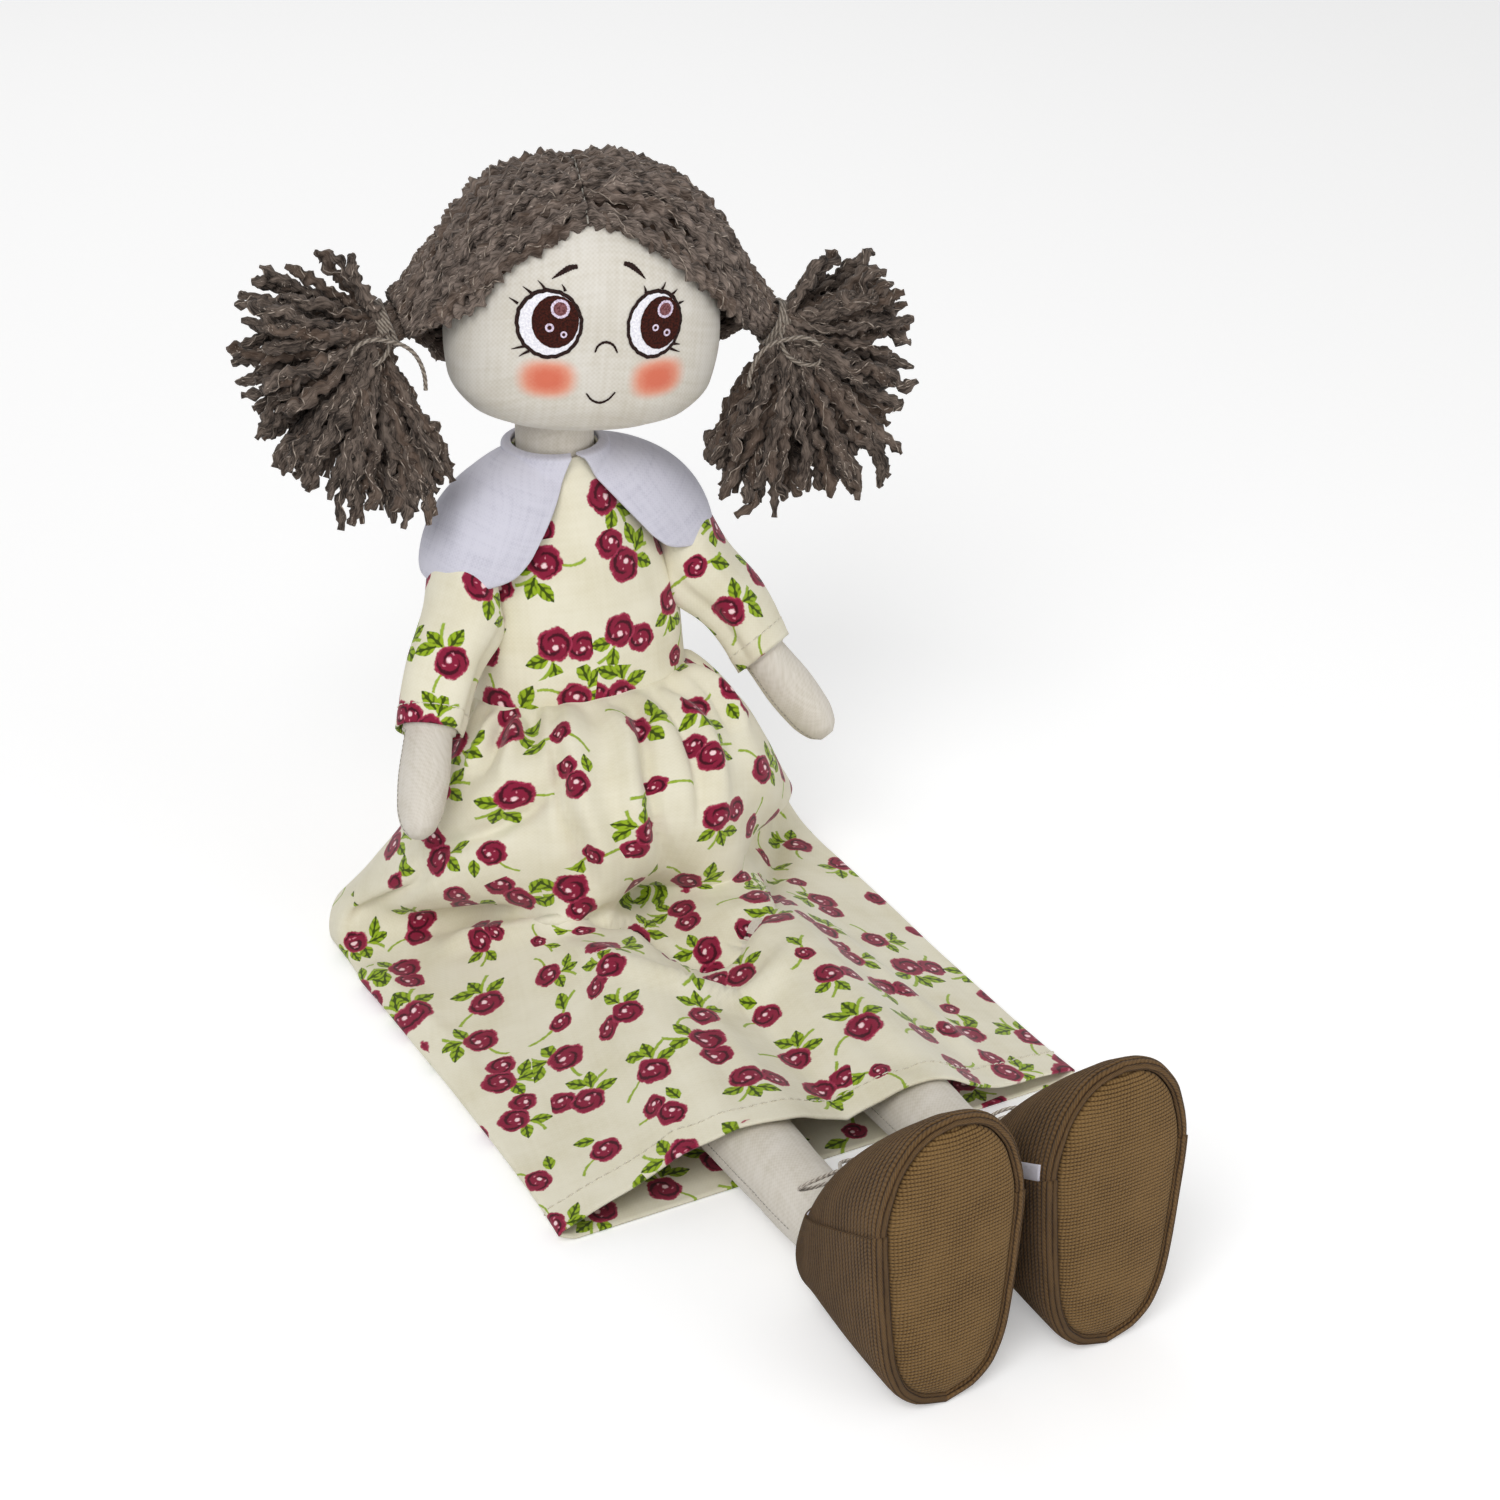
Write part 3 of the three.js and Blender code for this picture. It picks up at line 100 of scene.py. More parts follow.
sole_y = -226
sole_thickness = 2.4
sole_length = 77
sole_half_width = 18.6
shoe_depth = 42.5
opening_half_width = 13
opening_half_length = 15.5
insole_y = sole_y + sole_thickness

head_z = 181
head_y = 12
chin_z = 150
crown_z = 215
head_half_width = 36.5
head_half_depth = 27
head_power = 2.25
head_turn = math.radians(13)
head_lean = math.radians(5)
head_shift = 4.8
face_y = head_y - neck_y
tie_x = 48
tie_z = 176.5
tie_tilt = math.radians(25)
tie_radius = 6.9
thread_radius = 0.55
lace_radius = 0.45


def read_shares(table, place):
    """Smooth values between given rows of [place, value, ...], one value for each column."""
    rows = np.array(table, float)
    x, y = rows[:, 0], rows[:, 1:]
    at = np.clip(np.asarray(place, float), x[0], x[-1])
    i = np.clip(np.searchsorted(x, at, side="right") - 1, 0, len(x) - 2)
    span = (x[i + 1] - x[i])[..., None]
    t = (at - x[i])[..., None] / span
    slope = np.diff(y, axis=0) / np.diff(x)[:, None]
    before, after = slope[:-1], slope[1:]
    total = before + after
    mean = np.where(before * after > 0, 2 * before * after / np.where(total == 0, 1, total), 0)
    tangent = np.vstack([slope[:1], mean, slope[-1:]])
    rise = 3 * t**2 - 2 * t**3
    leave = t * (1 - t) ** 2 * span * tangent[i]
    arrive = t**2 * (t - 1) * span * tangent[i + 1]
    return y[i] * (1 - rise) + y[i + 1] * rise + leave + arrive


def bend(value, power):
    """A power that keeps the sign, for superellipses."""
    return np.sign(value) * np.abs(value) ** (2 / power)


def mix(a, b, share):
    return a + (b - a) * share


def step(low, high, value):
    """0 below low, 1 above high, smooth in between."""
    t = np.clip((value - low) / (high - low), 0, 1)
    return t * t * (3 - 2 * t)


def bump_at(value, centre, width):
    return np.exp(-(((value - centre) / width) ** 2))


def unit(vectors):
    return vectors / np.linalg.norm(vectors, axis=-1, keepdims=True)


def stack(*values):
    return np.stack(np.broadcast_arrays(*values), axis=-1)


# Shader building

def srgb(text):
    """A colour written as in a paint program, as linear light."""
    parts = [int(text[i:i + 2], 16) / 255 for i in (0, 2, 4)]
    return [c / 12.92 if c <= 0.04045 else ((c + 0.055) / 1.055) ** 2.4 for c in parts]


class Wire:
    """A value that runs between shader nodes and can be used in sums."""

    def __init__(self, shader, socket):
        self.shader = shader
        self.socket = socket

    def math(self, operation, *others):
        node = self.shader.node("ShaderNodeMath", operation=operation)
        for place, value in enumerate((self, *others)):
            self.shader.put(value, node.inputs[place])
        return Wire(self.shader, node.outputs[0])

    __add__ = __radd__ = partialmethod(math, "ADD")
    __sub__ = partialmethod(math, "SUBTRACT")
    __mul__ = __rmul__ = partialmethod(math, "MULTIPLY")
    __truediv__ = partialmethod(math, "DIVIDE")
    sin = partialmethod(math, "SINE")
    cos = partialmethod(math, "COSINE")
    abs = partialmethod(math, "ABSOLUTE")
    sqrt = partialmethod(math, "SQRT")
    fraction = partialmethod(math, "FRACT")
    turn = partialmethod(math, "ARCTAN2")
    most = partialmethod(math, "MAXIMUM")

    def __rsub__(self, other):
        return self * -1.0 + other

    def step(self, low, high):
        """0 at low and 1 at high, smooth in between."""
        node = self.shader.node("ShaderNodeMapRange", interpolation_type="SMOOTHSTEP")
        ends = (low, high, 0.0, 1.0) if low <= high else (high, low, 1.0, 0.0)
        self.shader.put(self, node.inputs["Value"])
        for name, value in zip(("From Min", "From Max", "To Min", "To Max"), ends):
            node.inputs[name].default_value = value
        return Wire(self.shader, node.outputs["Result"])


class Nodes:
    """A node tree of a material or the world."""

    def __init__(self, tree):
        self.tree = tree

    def node(self, kind, **settings):
        made = self.tree.nodes.new(kind)
        for key, value in settings.items():
            setattr(made, key, value)
        return made

    def put(self, value, socket):
        """Sets a socket to a wire, a number or a colour written as text."""
        if isinstance(value, Wire):
            self.tree.links.new(value.socket, socket)
        elif isinstance(value, str):
            socket.default_value = [*srgb(value), 1.0]
        else:
            socket.default_value = value


class Shader(Nodes):
    """One material and the nodes that it is built from."""

    def __init__(self, name, roughness=0.85, sheen=0.0, specular=0.25):
        self.material = bpy.data.materials.new(name)
        self.material.use_nodes = True
        super().__init__(self.material.node_tree)
        self.surface = self.tree.nodes["Principled BSDF"]
        self.surface.inputs["Roughness"].default_value = roughness
        self.surface.inputs["Sheen Weight"].default_value = sheen
        self.surface.inputs["Specular IOR Level"].default_value = specular

    def parts(self, kind, socket):
        """What a separate node of a kind makes of a socket, as wires."""
        node = self.node(kind)
        self.tree.links.new(socket, node.inputs[0])
        return [Wire(self, node.outputs[k]) for k in range(3)]

    def uv(self, layer="cloth"):
        """The place on the cloth in millimetres, as two wires."""
        place = self.parts("ShaderNodeSeparateXYZ", self.node("ShaderNodeUVMap", uv_map=layer).outputs[0])
        return place[0] * UV_MM, place[1] * UV_MM

    def vector(self, x, y):
        node = self.node("ShaderNodeCombineXYZ")
        self.put(x, node.inputs[0])
        self.put(y, node.inputs[1])
        return Wire(self, node.outputs[0])

    def noise(self, x, y, size, detail=2.0, rough=0.5):
        """Soft noise from 0 to 1 with blots of about a size in millimetres."""
        node = self.node("ShaderNodeTexNoise", noise_dimensions="2D")
        self.put(self.vector(x, y), node.inputs["Vector"])
        node.inputs["Scale"].default_value = 1 / size
        node.inputs["Detail"].default_value = detail
        node.inputs["Roughness"].default_value = rough
        return Wire(self, node.outputs["Fac"])

    def blend(self, first, second, share):
        node = self.node("ShaderNodeMix", data_type="RGBA")
        for value, place in ((share, 0), (first, 6), (second, 7)):
            self.put(value, node.inputs[place])
        return Wire(self, node.outputs[2])

    def colour(self, value):
        self.put(value, self.surface.inputs["Base Color"])

    def relief(self, height, depth):
        """Bump from a height of 0 to 1, as deep as given in millimetres."""
        node = self.node("ShaderNodeBump")
        self.put(height, node.inputs["Height"])
        node.inputs["Distance"].default_value = depth * MM
        self.tree.links.new(node.outputs[0], self.surface.inputs["Normal"])


def weave_height(shader, x, y, pitch, uneven):
    """Height of a plain weave whose threads lie a pitch apart, thicker and thinner in places."""
    rate = math.pi / pitch
    cross = (x * rate).sin() * (y * rate).sin()
    slub_x = shader.noise(x * 0.08, y, pitch * 2.2)
    slub_y = shader.noise(x, y * 0.08, pitch * 2.2)
    return cross * 0.14 + (slub_x + slub_y) * uneven


def weave(shader, base, shade, pitch, uneven):
    """Height and colour of plain woven cloth, with painted shade between its threads and darker soft blots.
    """
    x, y = shader.uv()
    height = weave_height(shader, x, y, pitch, uneven)
    blots = shader.noise(x, y, 14, detail=3.0)
    tone = height.step(-0.2, 1.2) * 0.7 + blots * 0.45
    return height, shader.blend(shade, base, tone.step(0.1, 0.85))


def cloth_material(name, base, shade, pitch, depth, sheen=0.15, uneven=0.5):
    shader = Shader(name, roughness=0.88, sheen=sheen, specular=0.15)
    height, colour = weave(shader, base, shade, pitch, uneven)
    shader.colour(colour)
    shader.relief(height, depth)
    return shader.material


# x, z, half width, half height and tilt of each blush
blush_places = ((-13.9, 168.0, 8.0, 6.0, 0.02), (15.0, 168.0, 7.9, 6.2, 0.08))


def face_material():
    """Cotton with two soft round blushes printed on it."""
    shader = Shader("face_cotton", roughness=0.88, sheen=0.15, specular=0.15)
    height, skin = weave(shader, "dcd8d0", "c6bfb0", 0.62, 0.45)
    fx, fz = shader.uv("face")
    grain = shader.noise(fx, fz, 0.9, detail=3.0) * 0.3 + height * 0.12
    for cx, cz, wide, tall, tilt in blush_places:
        along = (fx - cx) * math.cos(tilt) + (fz - cz) * math.sin(tilt)
        up = (fz - cz) * math.cos(tilt) - (fx - cx) * math.sin(tilt)
        px, pz = along / wide, up / tall
        reach = (px * px * px * px + pz * pz * pz * pz + px * px * pz * pz).sqrt().sqrt()
        share = (reach + grain * 0.16).step(1.16, 0.62)
        pink = shader.blend("e39a80", "d8684b", (reach + grain * 0.5).step(1.0, 0.35))
        skin = shader.blend(skin, pink, share * 0.93)
    shader.colour(skin)
    shader.relief(height, 0.05)
    return shader.material


rose_spacing = 19
rose_scatter = 0.42
rose_growth = 0.3
leaf_half_length = 2.7
leaf_half_width = 1.6
pair_below = 0.5
bud_above = 0.82
leaf_above = 0.12
sharp = 0.0001


def rose_material():
    """Cream cotton with roses, singly or in pairs, on short stems with two or three leaves."""
    shader = Shader("rose_cotton", roughness=0.85, sheen=0.2, specular=0.15)
    x, y = shader.uv()
    height = weave_height(shader, x, y, 0.55, 0.5)
    wobble = shader.noise(x, y, 1.3, detail=3.0, rough=0.6) - 0.5
    blots = shader.noise(x, y, 16, detail=3.0)

    cells = shader.node("ShaderNodeTexVoronoi", voronoi_dimensions="2D", feature="F1")
    shader.put(shader.vector(x, y), cells.inputs["Vector"])
    cells.inputs["Scale"].default_value = 1 / rose_spacing
    cells.inputs["Randomness"].default_value = rose_scatter
    turn, kind, size = shader.parts("ShaderNodeSeparateColor", cells.outputs["Color"])
    middle = shader.parts("ShaderNodeSeparateXYZ", cells.outputs["Position"])
    dx, dy = x - middle[0], y - middle[1]
    angle = turn * TURN
    grow = size * rose_growth + 1.04
    px = (dx * angle.cos() + dy * angle.sin()) / grow
    py = (dy * angle.cos() - dx * angle.sin()) / grow

    # Cream ground: painted shade between the threads, and darker soft blots.
    cream = shader.blend("d6cfb4", "e6e1cd", (height * 0.4 + blots * 0.8).step(0.1, 0.9))

    def stem(picture, start, end, sag, half_width, wanted):
        """A curved stalk along the picture's own X axis."""
        along = (px - start) / (end - start)
        middle = (along * (1.0 - along)) * sag
        off = (py - middle - along * 1.4).abs() + wobble * 0.5
        share = off.step(half_width + 0.16, half_width - 0.1) * along.step(-0.02, 0.04)
        share = share * along.step(1.02, 0.96) * wanted
        green = shader.blend("7f9c26", "a8bd4a", wobble + 0.5)
        return shader.blend(picture, green, share)

    def leaf(picture, cx, cy, tilt, wanted):
        """A pointed leaf with a dark middle vein and side veins."""
        lx = ((px - cx) * math.cos(tilt) + (py - cy) * math.sin(tilt)) / leaf_half_length
        ly = ((py - cy) * math.cos(tilt) - (px - cx) * math.sin(tilt)) / leaf_half_width
        edge = lx * lx + ly.abs() * (1.0 + lx * 0.25) + wobble * 0.35
        share = edge.step(1.06, 0.92) * wanted
        veins = (lx * 9.0 - ly.abs() * 5.0).sin() * 0.35 + 0.3
        dark = (ly.abs().step(0.30, 0.02) + veins + wobble * 0.8).step(0.2, 0.9)
        green = shader.blend("93ae24", "3c4c0a", dark)
        return shader.blend(picture, green, share)

    def rose(picture, cx, cy, radius, wanted):
        """A round rose: a wavy edge, darker rings of petals and a pale heart."""
        rx, ry = (px - cx) / radius, (py - cy) / radius
        reach = (rx * rx + ry * ry).sqrt()
        turned = ry.turn(rx)
        rim = reach + wobble * 0.22 + (turned * 5.0 + turn * 9.0).sin() * 0.045
        share = rim.step(1.0, 0.9) * wanted
        swirl = (reach * 13.0 + turned * 2.0 + wobble * 3.0).sin() * 0.5 + 0.5
        petals = swirl * reach.step(0.15, 0.5) * reach.step(1.0, 0.72)
        red = shader.blend("861b38", "43081a", petals.step(0.35, 0.95))
        red = shader.blend(red, "b03a58", (rim.step(0.72, 0.9) * (wobble + 0.62)).step(0.2, 0.9))
        heart_x, heart_y = rx - 0.1, ry - 0.16
        heart = (heart_x * heart_x + heart_y * heart_y).sqrt() + wobble * 0.2
        red = shader.blend(red, "f3d3d6", heart.step(0.2, 0.1))
        glint = (heart - 0.42).abs() + (turned * 1.5).sin().abs() * 0.25
        red = shader.blend(red, "dd8d9d", glint.step(0.12, 0.04) * 0.8)
        return shader.blend(picture, red, share)

    pair = kind.step(pair_below, pair_below - sharp)
    bud = kind.step(bud_above, bud_above + sharp)
    bloom = 1.0 - bud
    leafy = size.step(leaf_above, leaf_above + sharp)
    picture = stem(cream, 1.5, 8.8, 3.2, 0.36, leafy)
    picture = stem(picture, -1.0, -7.6, -2.6, 0.34, bud)
    picture = stem(picture, -2.4, -8.6, 3.4, 0.32, bloom * kind.step(0.4, 0.4 + sharp))
    picture = leaf(picture, 4.9, 3.1, 0.9, leafy)
    picture = leaf(picture, 5.4, -1.7, -0.5, leafy * bloom)
    picture = leaf(picture, 2.3, 4.9, 1.9, bloom * kind.step(0.2, 0.2 + sharp))
    picture = rose(picture, -3.3, 3.6, 3.5, pair)
    picture = rose(picture, 0.0, -1.4, 4.0, bloom)
    picture = rose(picture, 0.2, -0.6, 2.7, bud)
    shader.colour(picture)
    creases = shader.noise(x, y, 7, detail=4.0, rough=0.55) * 2.2
    shader.relief(height + creases, 0.05)
    return shader.material


def yarn_material(name, dark, light):
    """Slub yarn: brown fibres along the strand, and pale glossy thread here and there, its streaks partly
    the thread's own colour and partly painted highlight.
    """
    shader = Shader(name, roughness=0.75, sheen=0.05, specular=0.2)
    x, y = shader.uv()
    fibres = shader.noise(x, y * 0.16, 0.42, detail=4.0, rough=0.65)
    clumps = shader.noise(x * 0.6, y * 0.35, 2.2, detail=2.0)
    tint = shader.noise(x * 0.2, y * 0.12, 6.0, detail=2.0)
    tone = fibres * 0.7 + clumps * 0.5
    brown = shader.blend(dark, light, tone.step(0.38, 0.86))
    brown = shader.blend(brown, "5d4a3d", tint.step(0.45, 0.7) * 0.5)
    # Pale streaks along the strand: pale thread, brightened as a painted highlight.
    glint = shader.noise(x * 1.6 + y * 0.9, y * 0.5, 0.5, detail=1.0)
    spots = shader.noise(x * 0.3, y * 0.3, 1.6, detail=1.0)
    pale_thread_and_glint = glint.step(0.70, 0.76) * spots.step(0.52, 0.62)
    shader.colour(shader.blend(brown, "cbbdb0", pale_thread_and_glint * 0.85))
    shader.relief(fibres * 0.8 + clumps * 0.6, 0.32)
    return shader.material


# A dark sheet under the hair: painted shade for the gaps between the strands.
def gap_shade_material():
    shader = Shader("shade_under_hair", roughness=0.95, specular=0.05)
    x, y = shader.uv()
    lines = shader.noise(x, y * 0.2, 1.2, detail=3.0)
    shader.colour(shader.blend("231a15", "463930", lines))
    shader.relief(lines, 0.4)
    return shader.material


def knit_material(name, light, dark, column, stitch, depth):
    """Knitted wool: columns of slanting stitches along the cloth, with painted shade in the gaps between
    them and a soft fuzz.
    """
    shader = Shader(name, roughness=0.95, sheen=0.06, specular=0.08)
    x, y = shader.uv()
    drift = shader.noise(x, y, 9, detail=2.0) * 1.3
    side = (((y + drift * 0.4) / column).fraction() - 0.5).abs() * 2.0
    loop = ((x + drift + side * (stitch * 0.45)) * (TURN / stitch)).sin() * 0.5 + 0.5
    body = 1.0 - side * side * side
    fuzz = shader.noise(x, y, 0.5, detail=4.0, rough=0.7)
    height = (loop * 0.45 + 0.55) * body + (fuzz - 0.5) * 0.7
    # Colour follows the height: painted shade in the gaps and low loops, with darker soft blots.
    tone = (height + (shader.noise(x, y, 12, detail=3.0) - 0.5) * 0.5).step(-0.1, 1.0)
    shader.colour(shader.blend(dark, light, tone))
    shader.relief(height, depth)
    return shader.material


def thread_material(name, light, dark, twist=2.2):
    shader = Shader(name, roughness=0.75, sheen=0.2)
    x, y = shader.uv()
    ply = ((x * 2.0 + y) * (TURN / twist)).sin()
    fuzz = shader.noise(x, y * 0.4, 0.4, detail=3.0)
    # Darker in the grooves between the plies, as painted shade, and in random fuzz.
    shader.colour(shader.blend(dark, light, (ply * 0.35 + fuzz).step(0.1, 0.95)))
    shader.relief(ply * 0.5 + fuzz, 0.15)
    return shader.material


def plain_material(name, light, dark, size=0.6, roughness=0.85, specular=0.2):
    """A printed or moulded surface with a slight grain."""
    shader = Shader(name, roughness=roughness, specular=specular)
    x, y = shader.uv()
    grain = shader.noise(x, y, size, detail=3.0, rough=0.6)
    shader.colour(shader.blend(dark, light, grain.step(0.3, 0.7)))
    shader.relief(grain, 0.04)
    return shader.material


skin = cloth_material("skin_cotton", "dad4ca", "c3bbab", 0.55, 0.05)
linen = cloth_material("white_linen", "cfceda", "b6b5c4", 0.5, 0.09, sheen=0.1, uneven=0.7)
felt = cloth_material("white_felt", "dcdae6", "c3c1d0", 0.5, 0.1, sheen=0.3, uneven=1.2)
roses = rose_material()
face_cotton = face_material()
yarn = yarn_material("slub_yarn", "1b130e", "908177")
# The pigtails' yarn: a darker copy of the slub yarn, as painted shade for the shadow among the strands of
# the bunch.
shaded_tail_yarn = yarn_material("shaded_tail_yarn", "140d09", "7c6e64")
gap_shade = gap_shade_material()
upper_knit = knit_material("upper_knit", "785c3b", "2c1c0e", 1.5, 1.15, 0.5)
sole_knit = knit_material("sole_knit", "81653f", "3b2813", 0.95, 0.8, 0.22)
tie_thread = thread_material("tie_thread", "9d9286", "5d5349")
lace_thread = thread_material("lace_thread", "d8cfc2", "93897d", twist=1.6)
seam_thread = thread_material("seam_thread", "b9b3a8", "8b857c", twist=1.0)
cream_thread = thread_material("cream_thread", "f6f1e2", "cfc7ae", twist=1.0)
ink = plain_material("dark_print", "33201d", "1a0d0b")
shine_thread = thread_material("shine_thread", "b5a698", "5d5046", twist=3.0)
iris_print = plain_material("iris_print", "43180f", "250c07")
white_print = plain_material("white_print", "f8f7fb", "dfdee8")
glint_print = plain_material("glint_print", "e9dcee", "b9a6bd")
mauve_print = plain_material("mauve_print", "8a5a5e", "5a3034")
button_gloss = plain_material("button_gloss", "f4f0e4", "e6e0cf", size=3, roughness=0.3, specular=0.5)


# Mesh building

def make_object(name, vertices, faces, loop_uv, material):
    mesh = bpy.data.meshes.new(name)
    mesh.from_pydata((np.asarray(vertices) * MM).tolist(), [], [list(f) for f in faces])
    layer = mesh.uv_layers.new(name="cloth")
    layer.data.foreach_set("uv", (np.asarray(loop_uv) / UV_MM).astype(np.float32).ravel())
    mesh.shade_smooth()
    made = bpy.data.objects.new(name, mesh)
    bpy.context.scene.collection.objects.link(made)
    mesh.materials.append(material)
    return made


def cloth_uv(points, wrap, start=0):
    """Place on the cloth of each grid point: lengths along its row from a column, and down the piece."""
    rows = closed_grid(points) if wrap else points
    across = np.linalg.norm(np.diff(rows, axis=1), axis=-1)
    u = np.concatenate([np.zeros((len(rows), 1)), np.cumsum(across, axis=1)], axis=1)
    u = u - u[:, start:start + 1]
    down = np.linalg.norm(np.diff(rows, axis=0), axis=-1)
    v = np.concatenate([np.zeros((1, rows.shape[1])), np.cumsum(down, axis=0)], axis=0)
    return stack(u, v)


def turns_round(columns):
    return TURN * np.arange(columns) / columns


def lengths_along(path):
    """Distance of each point of a path from its start, along the path."""
    return np.concatenate([[0], np.cumsum(np.linalg.norm(np.diff(path, axis=0), axis=1))])


def closed_grid(points):
    """A grid whose first column comes again as the last."""
    return np.concatenate([points, points[:, :1]], axis=1)


def closed_ring(points):
    return np.vstack([points, points[:1]])


def cloth_area(points):
    """Area of a grid in square millimetres."""
    across = np.diff(points, axis=1)[:-1]
    down = np.diff(points, axis=0)[:, :-1]
    return float(np.linalg.norm(np.cross(across, down), axis=-1).sum())


def grid_faces(rows, columns, wrap, offset=0):
    last = columns if wrap else columns - 1
    i, j = np.meshgrid(np.arange(rows - 1), np.arange(last), indexing="ij")
    k = (j + 1) % columns
    corners = [i * columns + j, i * columns + k, (i + 1) * columns + k, (i + 1) * columns + j]
    return np.stack(corners, axis=-1).reshape(-1, 4) + offset


def grid_loops(uv):
    a, b, c, d = uv[:-1, :-1], uv[:-1, 1:], uv[1:, 1:], uv[1:, :-1]
    return np.stack([a, b, c, d], axis=2).reshape(-1, 4, 2)


def grid_object(name, points, material, wrap=False, uv=None, caps=(False, False)):
    """A mesh from rows and columns of points; caps close the first and last row of a tube."""
    rows, columns = points.shape[:2]
    uv = cloth_uv(points, wrap) if uv is None else uv
    faces = grid_faces(rows, columns, wrap).tolist()
    loops = grid_loops(uv).reshape(-1, 2).tolist()
    for wanted, row in zip(caps, (0, rows - 1)):
        if wanted:
            ring = list(range(row * columns, (row + 1) * columns))
            faces.append(ring)
            loops += uv[row, :columns].tolist()
    made = make_object(name, points.reshape(-1, 3), faces, loops, material)
    if any(caps) or wrap:
        with_bmesh(made, lambda work: bmesh.ops.recalc_face_normals(work, faces=work.faces))
    return made


def with_bmesh(made, change):
    """Changes a piece's mesh through an edit mesh."""
    work = bmesh.new()
    work.from_mesh(made.data)
    change(work)
    work.to_mesh(made.data)
    work.free()


def tube_points(path, radius, sides, flat=0.0, twist=0.0, phase=0.0):
    """Rings round a path. flat squeezes the section and twist turns it, in turns a millimetre."""
    along = unit(np.gradient(path, axis=0))
    side = np.zeros_like(path)
    start = np.cross(along[0], [0.31, 0.87, 0.38])
    side[0] = start / np.linalg.norm(start)
    for i in range(1, len(path)):
        s = side[i - 1] - along[i] * np.dot(side[i - 1], along[i])
        side[i] = s / np.linalg.norm(s)
    other = np.cross(along, side)
    length = lengths_along(path)
    angle = TURN * np.arange(sides) / sides
    turned = angle[None, :] - TURN * twist * length[:, None] - phase
    reach = np.asarray(radius).reshape(-1, 1) * (1 + flat * np.cos(2 * turned))
    ring = side[:, None] * np.cos(angle)[None, :, None] + other[:, None] * np.sin(angle)[None, :, None]
    return path[:, None] + ring * reach[..., None], length


def tubes_object(name, tubes, material):
    """Many closed tubes as one mesh. Each is (ring points, length along)."""
    vertices, faces, loops = [], [], []
    offset = 0
    for place, (points, length) in enumerate(tubes):
        rows, sides = points.shape[:2]
        vertices.append(points.reshape(-1, 3))
        faces += grid_faces(rows, sides, True, offset).tolist()
        girth = TURN * float(np.mean(np.linalg.norm(points[:, 0] - points.mean(axis=1), axis=1)))
        u = np.linspace(0, girth, sides + 1)[None, :] + place * 7.3
        uv = stack(u, length[:, None] + place * 31.7)
        loops += grid_loops(uv).reshape(-1, 2).tolist()
        for row in (0, rows - 1):
            ring = list(range(offset + row * sides, offset + (row + 1) * sides))
            faces.append(ring[::-1] if row == 0 else ring)
            loops += uv[row, :sides].tolist()
        offset += rows * sides
    return make_object(name, np.concatenate(vertices), faces, loops, material)


def smooth_path(points, count):
    """Centripetal curve through given points, at even spacing."""
    p = np.array(points, float)
    p = np.vstack([2 * p[0] - p[1], p, 2 * p[-1] - p[-2]])
    knots = np.concatenate([[0], np.cumsum(np.sqrt(np.linalg.norm(np.diff(p, axis=0), axis=1)))])
    fine = []
    for i in range(1, len(p) - 2):
        t = np.linspace(knots[i], knots[i + 1], 24, endpoint=False)[:, None]
        t0, t1, t2, t3 = knots[i - 1:i + 3]
        a1 = (t1 - t) / (t1 - t0) * p[i - 1] + (t - t0) / (t1 - t0) * p[i]
        a2 = (t2 - t) / (t2 - t1) * p[i] + (t - t1) / (t2 - t1) * p[i + 1]
        a3 = (t3 - t) / (t3 - t2) * p[i + 1] + (t - t2) / (t3 - t2) * p[i + 2]
        b1 = (t2 - t) / (t2 - t0) * a1 + (t - t0) / (t2 - t0) * a2
        b2 = (t3 - t) / (t3 - t1) * a2 + (t - t1) / (t3 - t1) * a3
        fine.append((t2 - t) / (t2 - t1) * b1 + (t - t1) / (t2 - t1) * b2)
    fine = np.vstack([*fine, p[-2][None]])
    return even(fine, count)


def even(path, count):
    """The same path with points at even spacing."""
    length = lengths_along(path)
    at = np.linspace(0, length[-1], count)
    return np.stack([np.interp(at, length, path[:, k]) for k in range(3)], axis=1)


def path_length(path):
    return float(np.linalg.norm(np.diff(path, axis=0), axis=1).sum())


def stitch_row(path, lift, stitch=1.9, gap=0.75, radius=0.17):
    """Short stitches along a path: each comes up out of the cloth and goes back into it."""
    count = max(1, int(path_length(path) / (stitch + gap)))
    fine = even(path, count * 8 + 1)
    lifts = even(path + lift, count * 8 + 1) - fine
    rise = np.sin(np.linspace(0.0, math.pi, 7))[:, None] - 0.35
    tubes = []
    for k in range(0, count * 8, 8):
        run = fine[k:k + 7] + lifts[k:k + 7] * rise
        tubes.append(tube_points(run, np.full(7, radius), 6))
    return tubes


def thicken(made, thickness, offset=-1.0):
    modifier = made.modifiers.new("cloth_thickness", "SOLIDIFY")
    modifier.thickness = thickness * MM
    modifier.offset = offset
    modifier.use_rim = True


def finish_piece(made, body, nodes=(), slot=None):
    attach(made, body)
    if nodes:
        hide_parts(*nodes)


# Camera, at the photograph's viewing angle

camera_place = np.array([-291.82, -641.24, 427.31])
camera_target = np.array([0.0, -92.4, 96.8])
camera_lens = 68.57


def make_camera():
    camera = bpy.data.objects.new("camera", bpy.data.cameras.new("camera"))
    bpy.context.scene.collection.objects.link(camera)
    camera.data.lens = camera_lens
    camera.data.sensor_width = 36
    camera.location = camera_place * MM
    look = Vector(camera_target - camera_place)
    camera.rotation_euler = look.to_track_quat("-Z", "Y").to_euler()
    camera.data.clip_start = 0.01
    camera.data.clip_end = 20
    bpy.context.scene.camera = camera


make_camera()


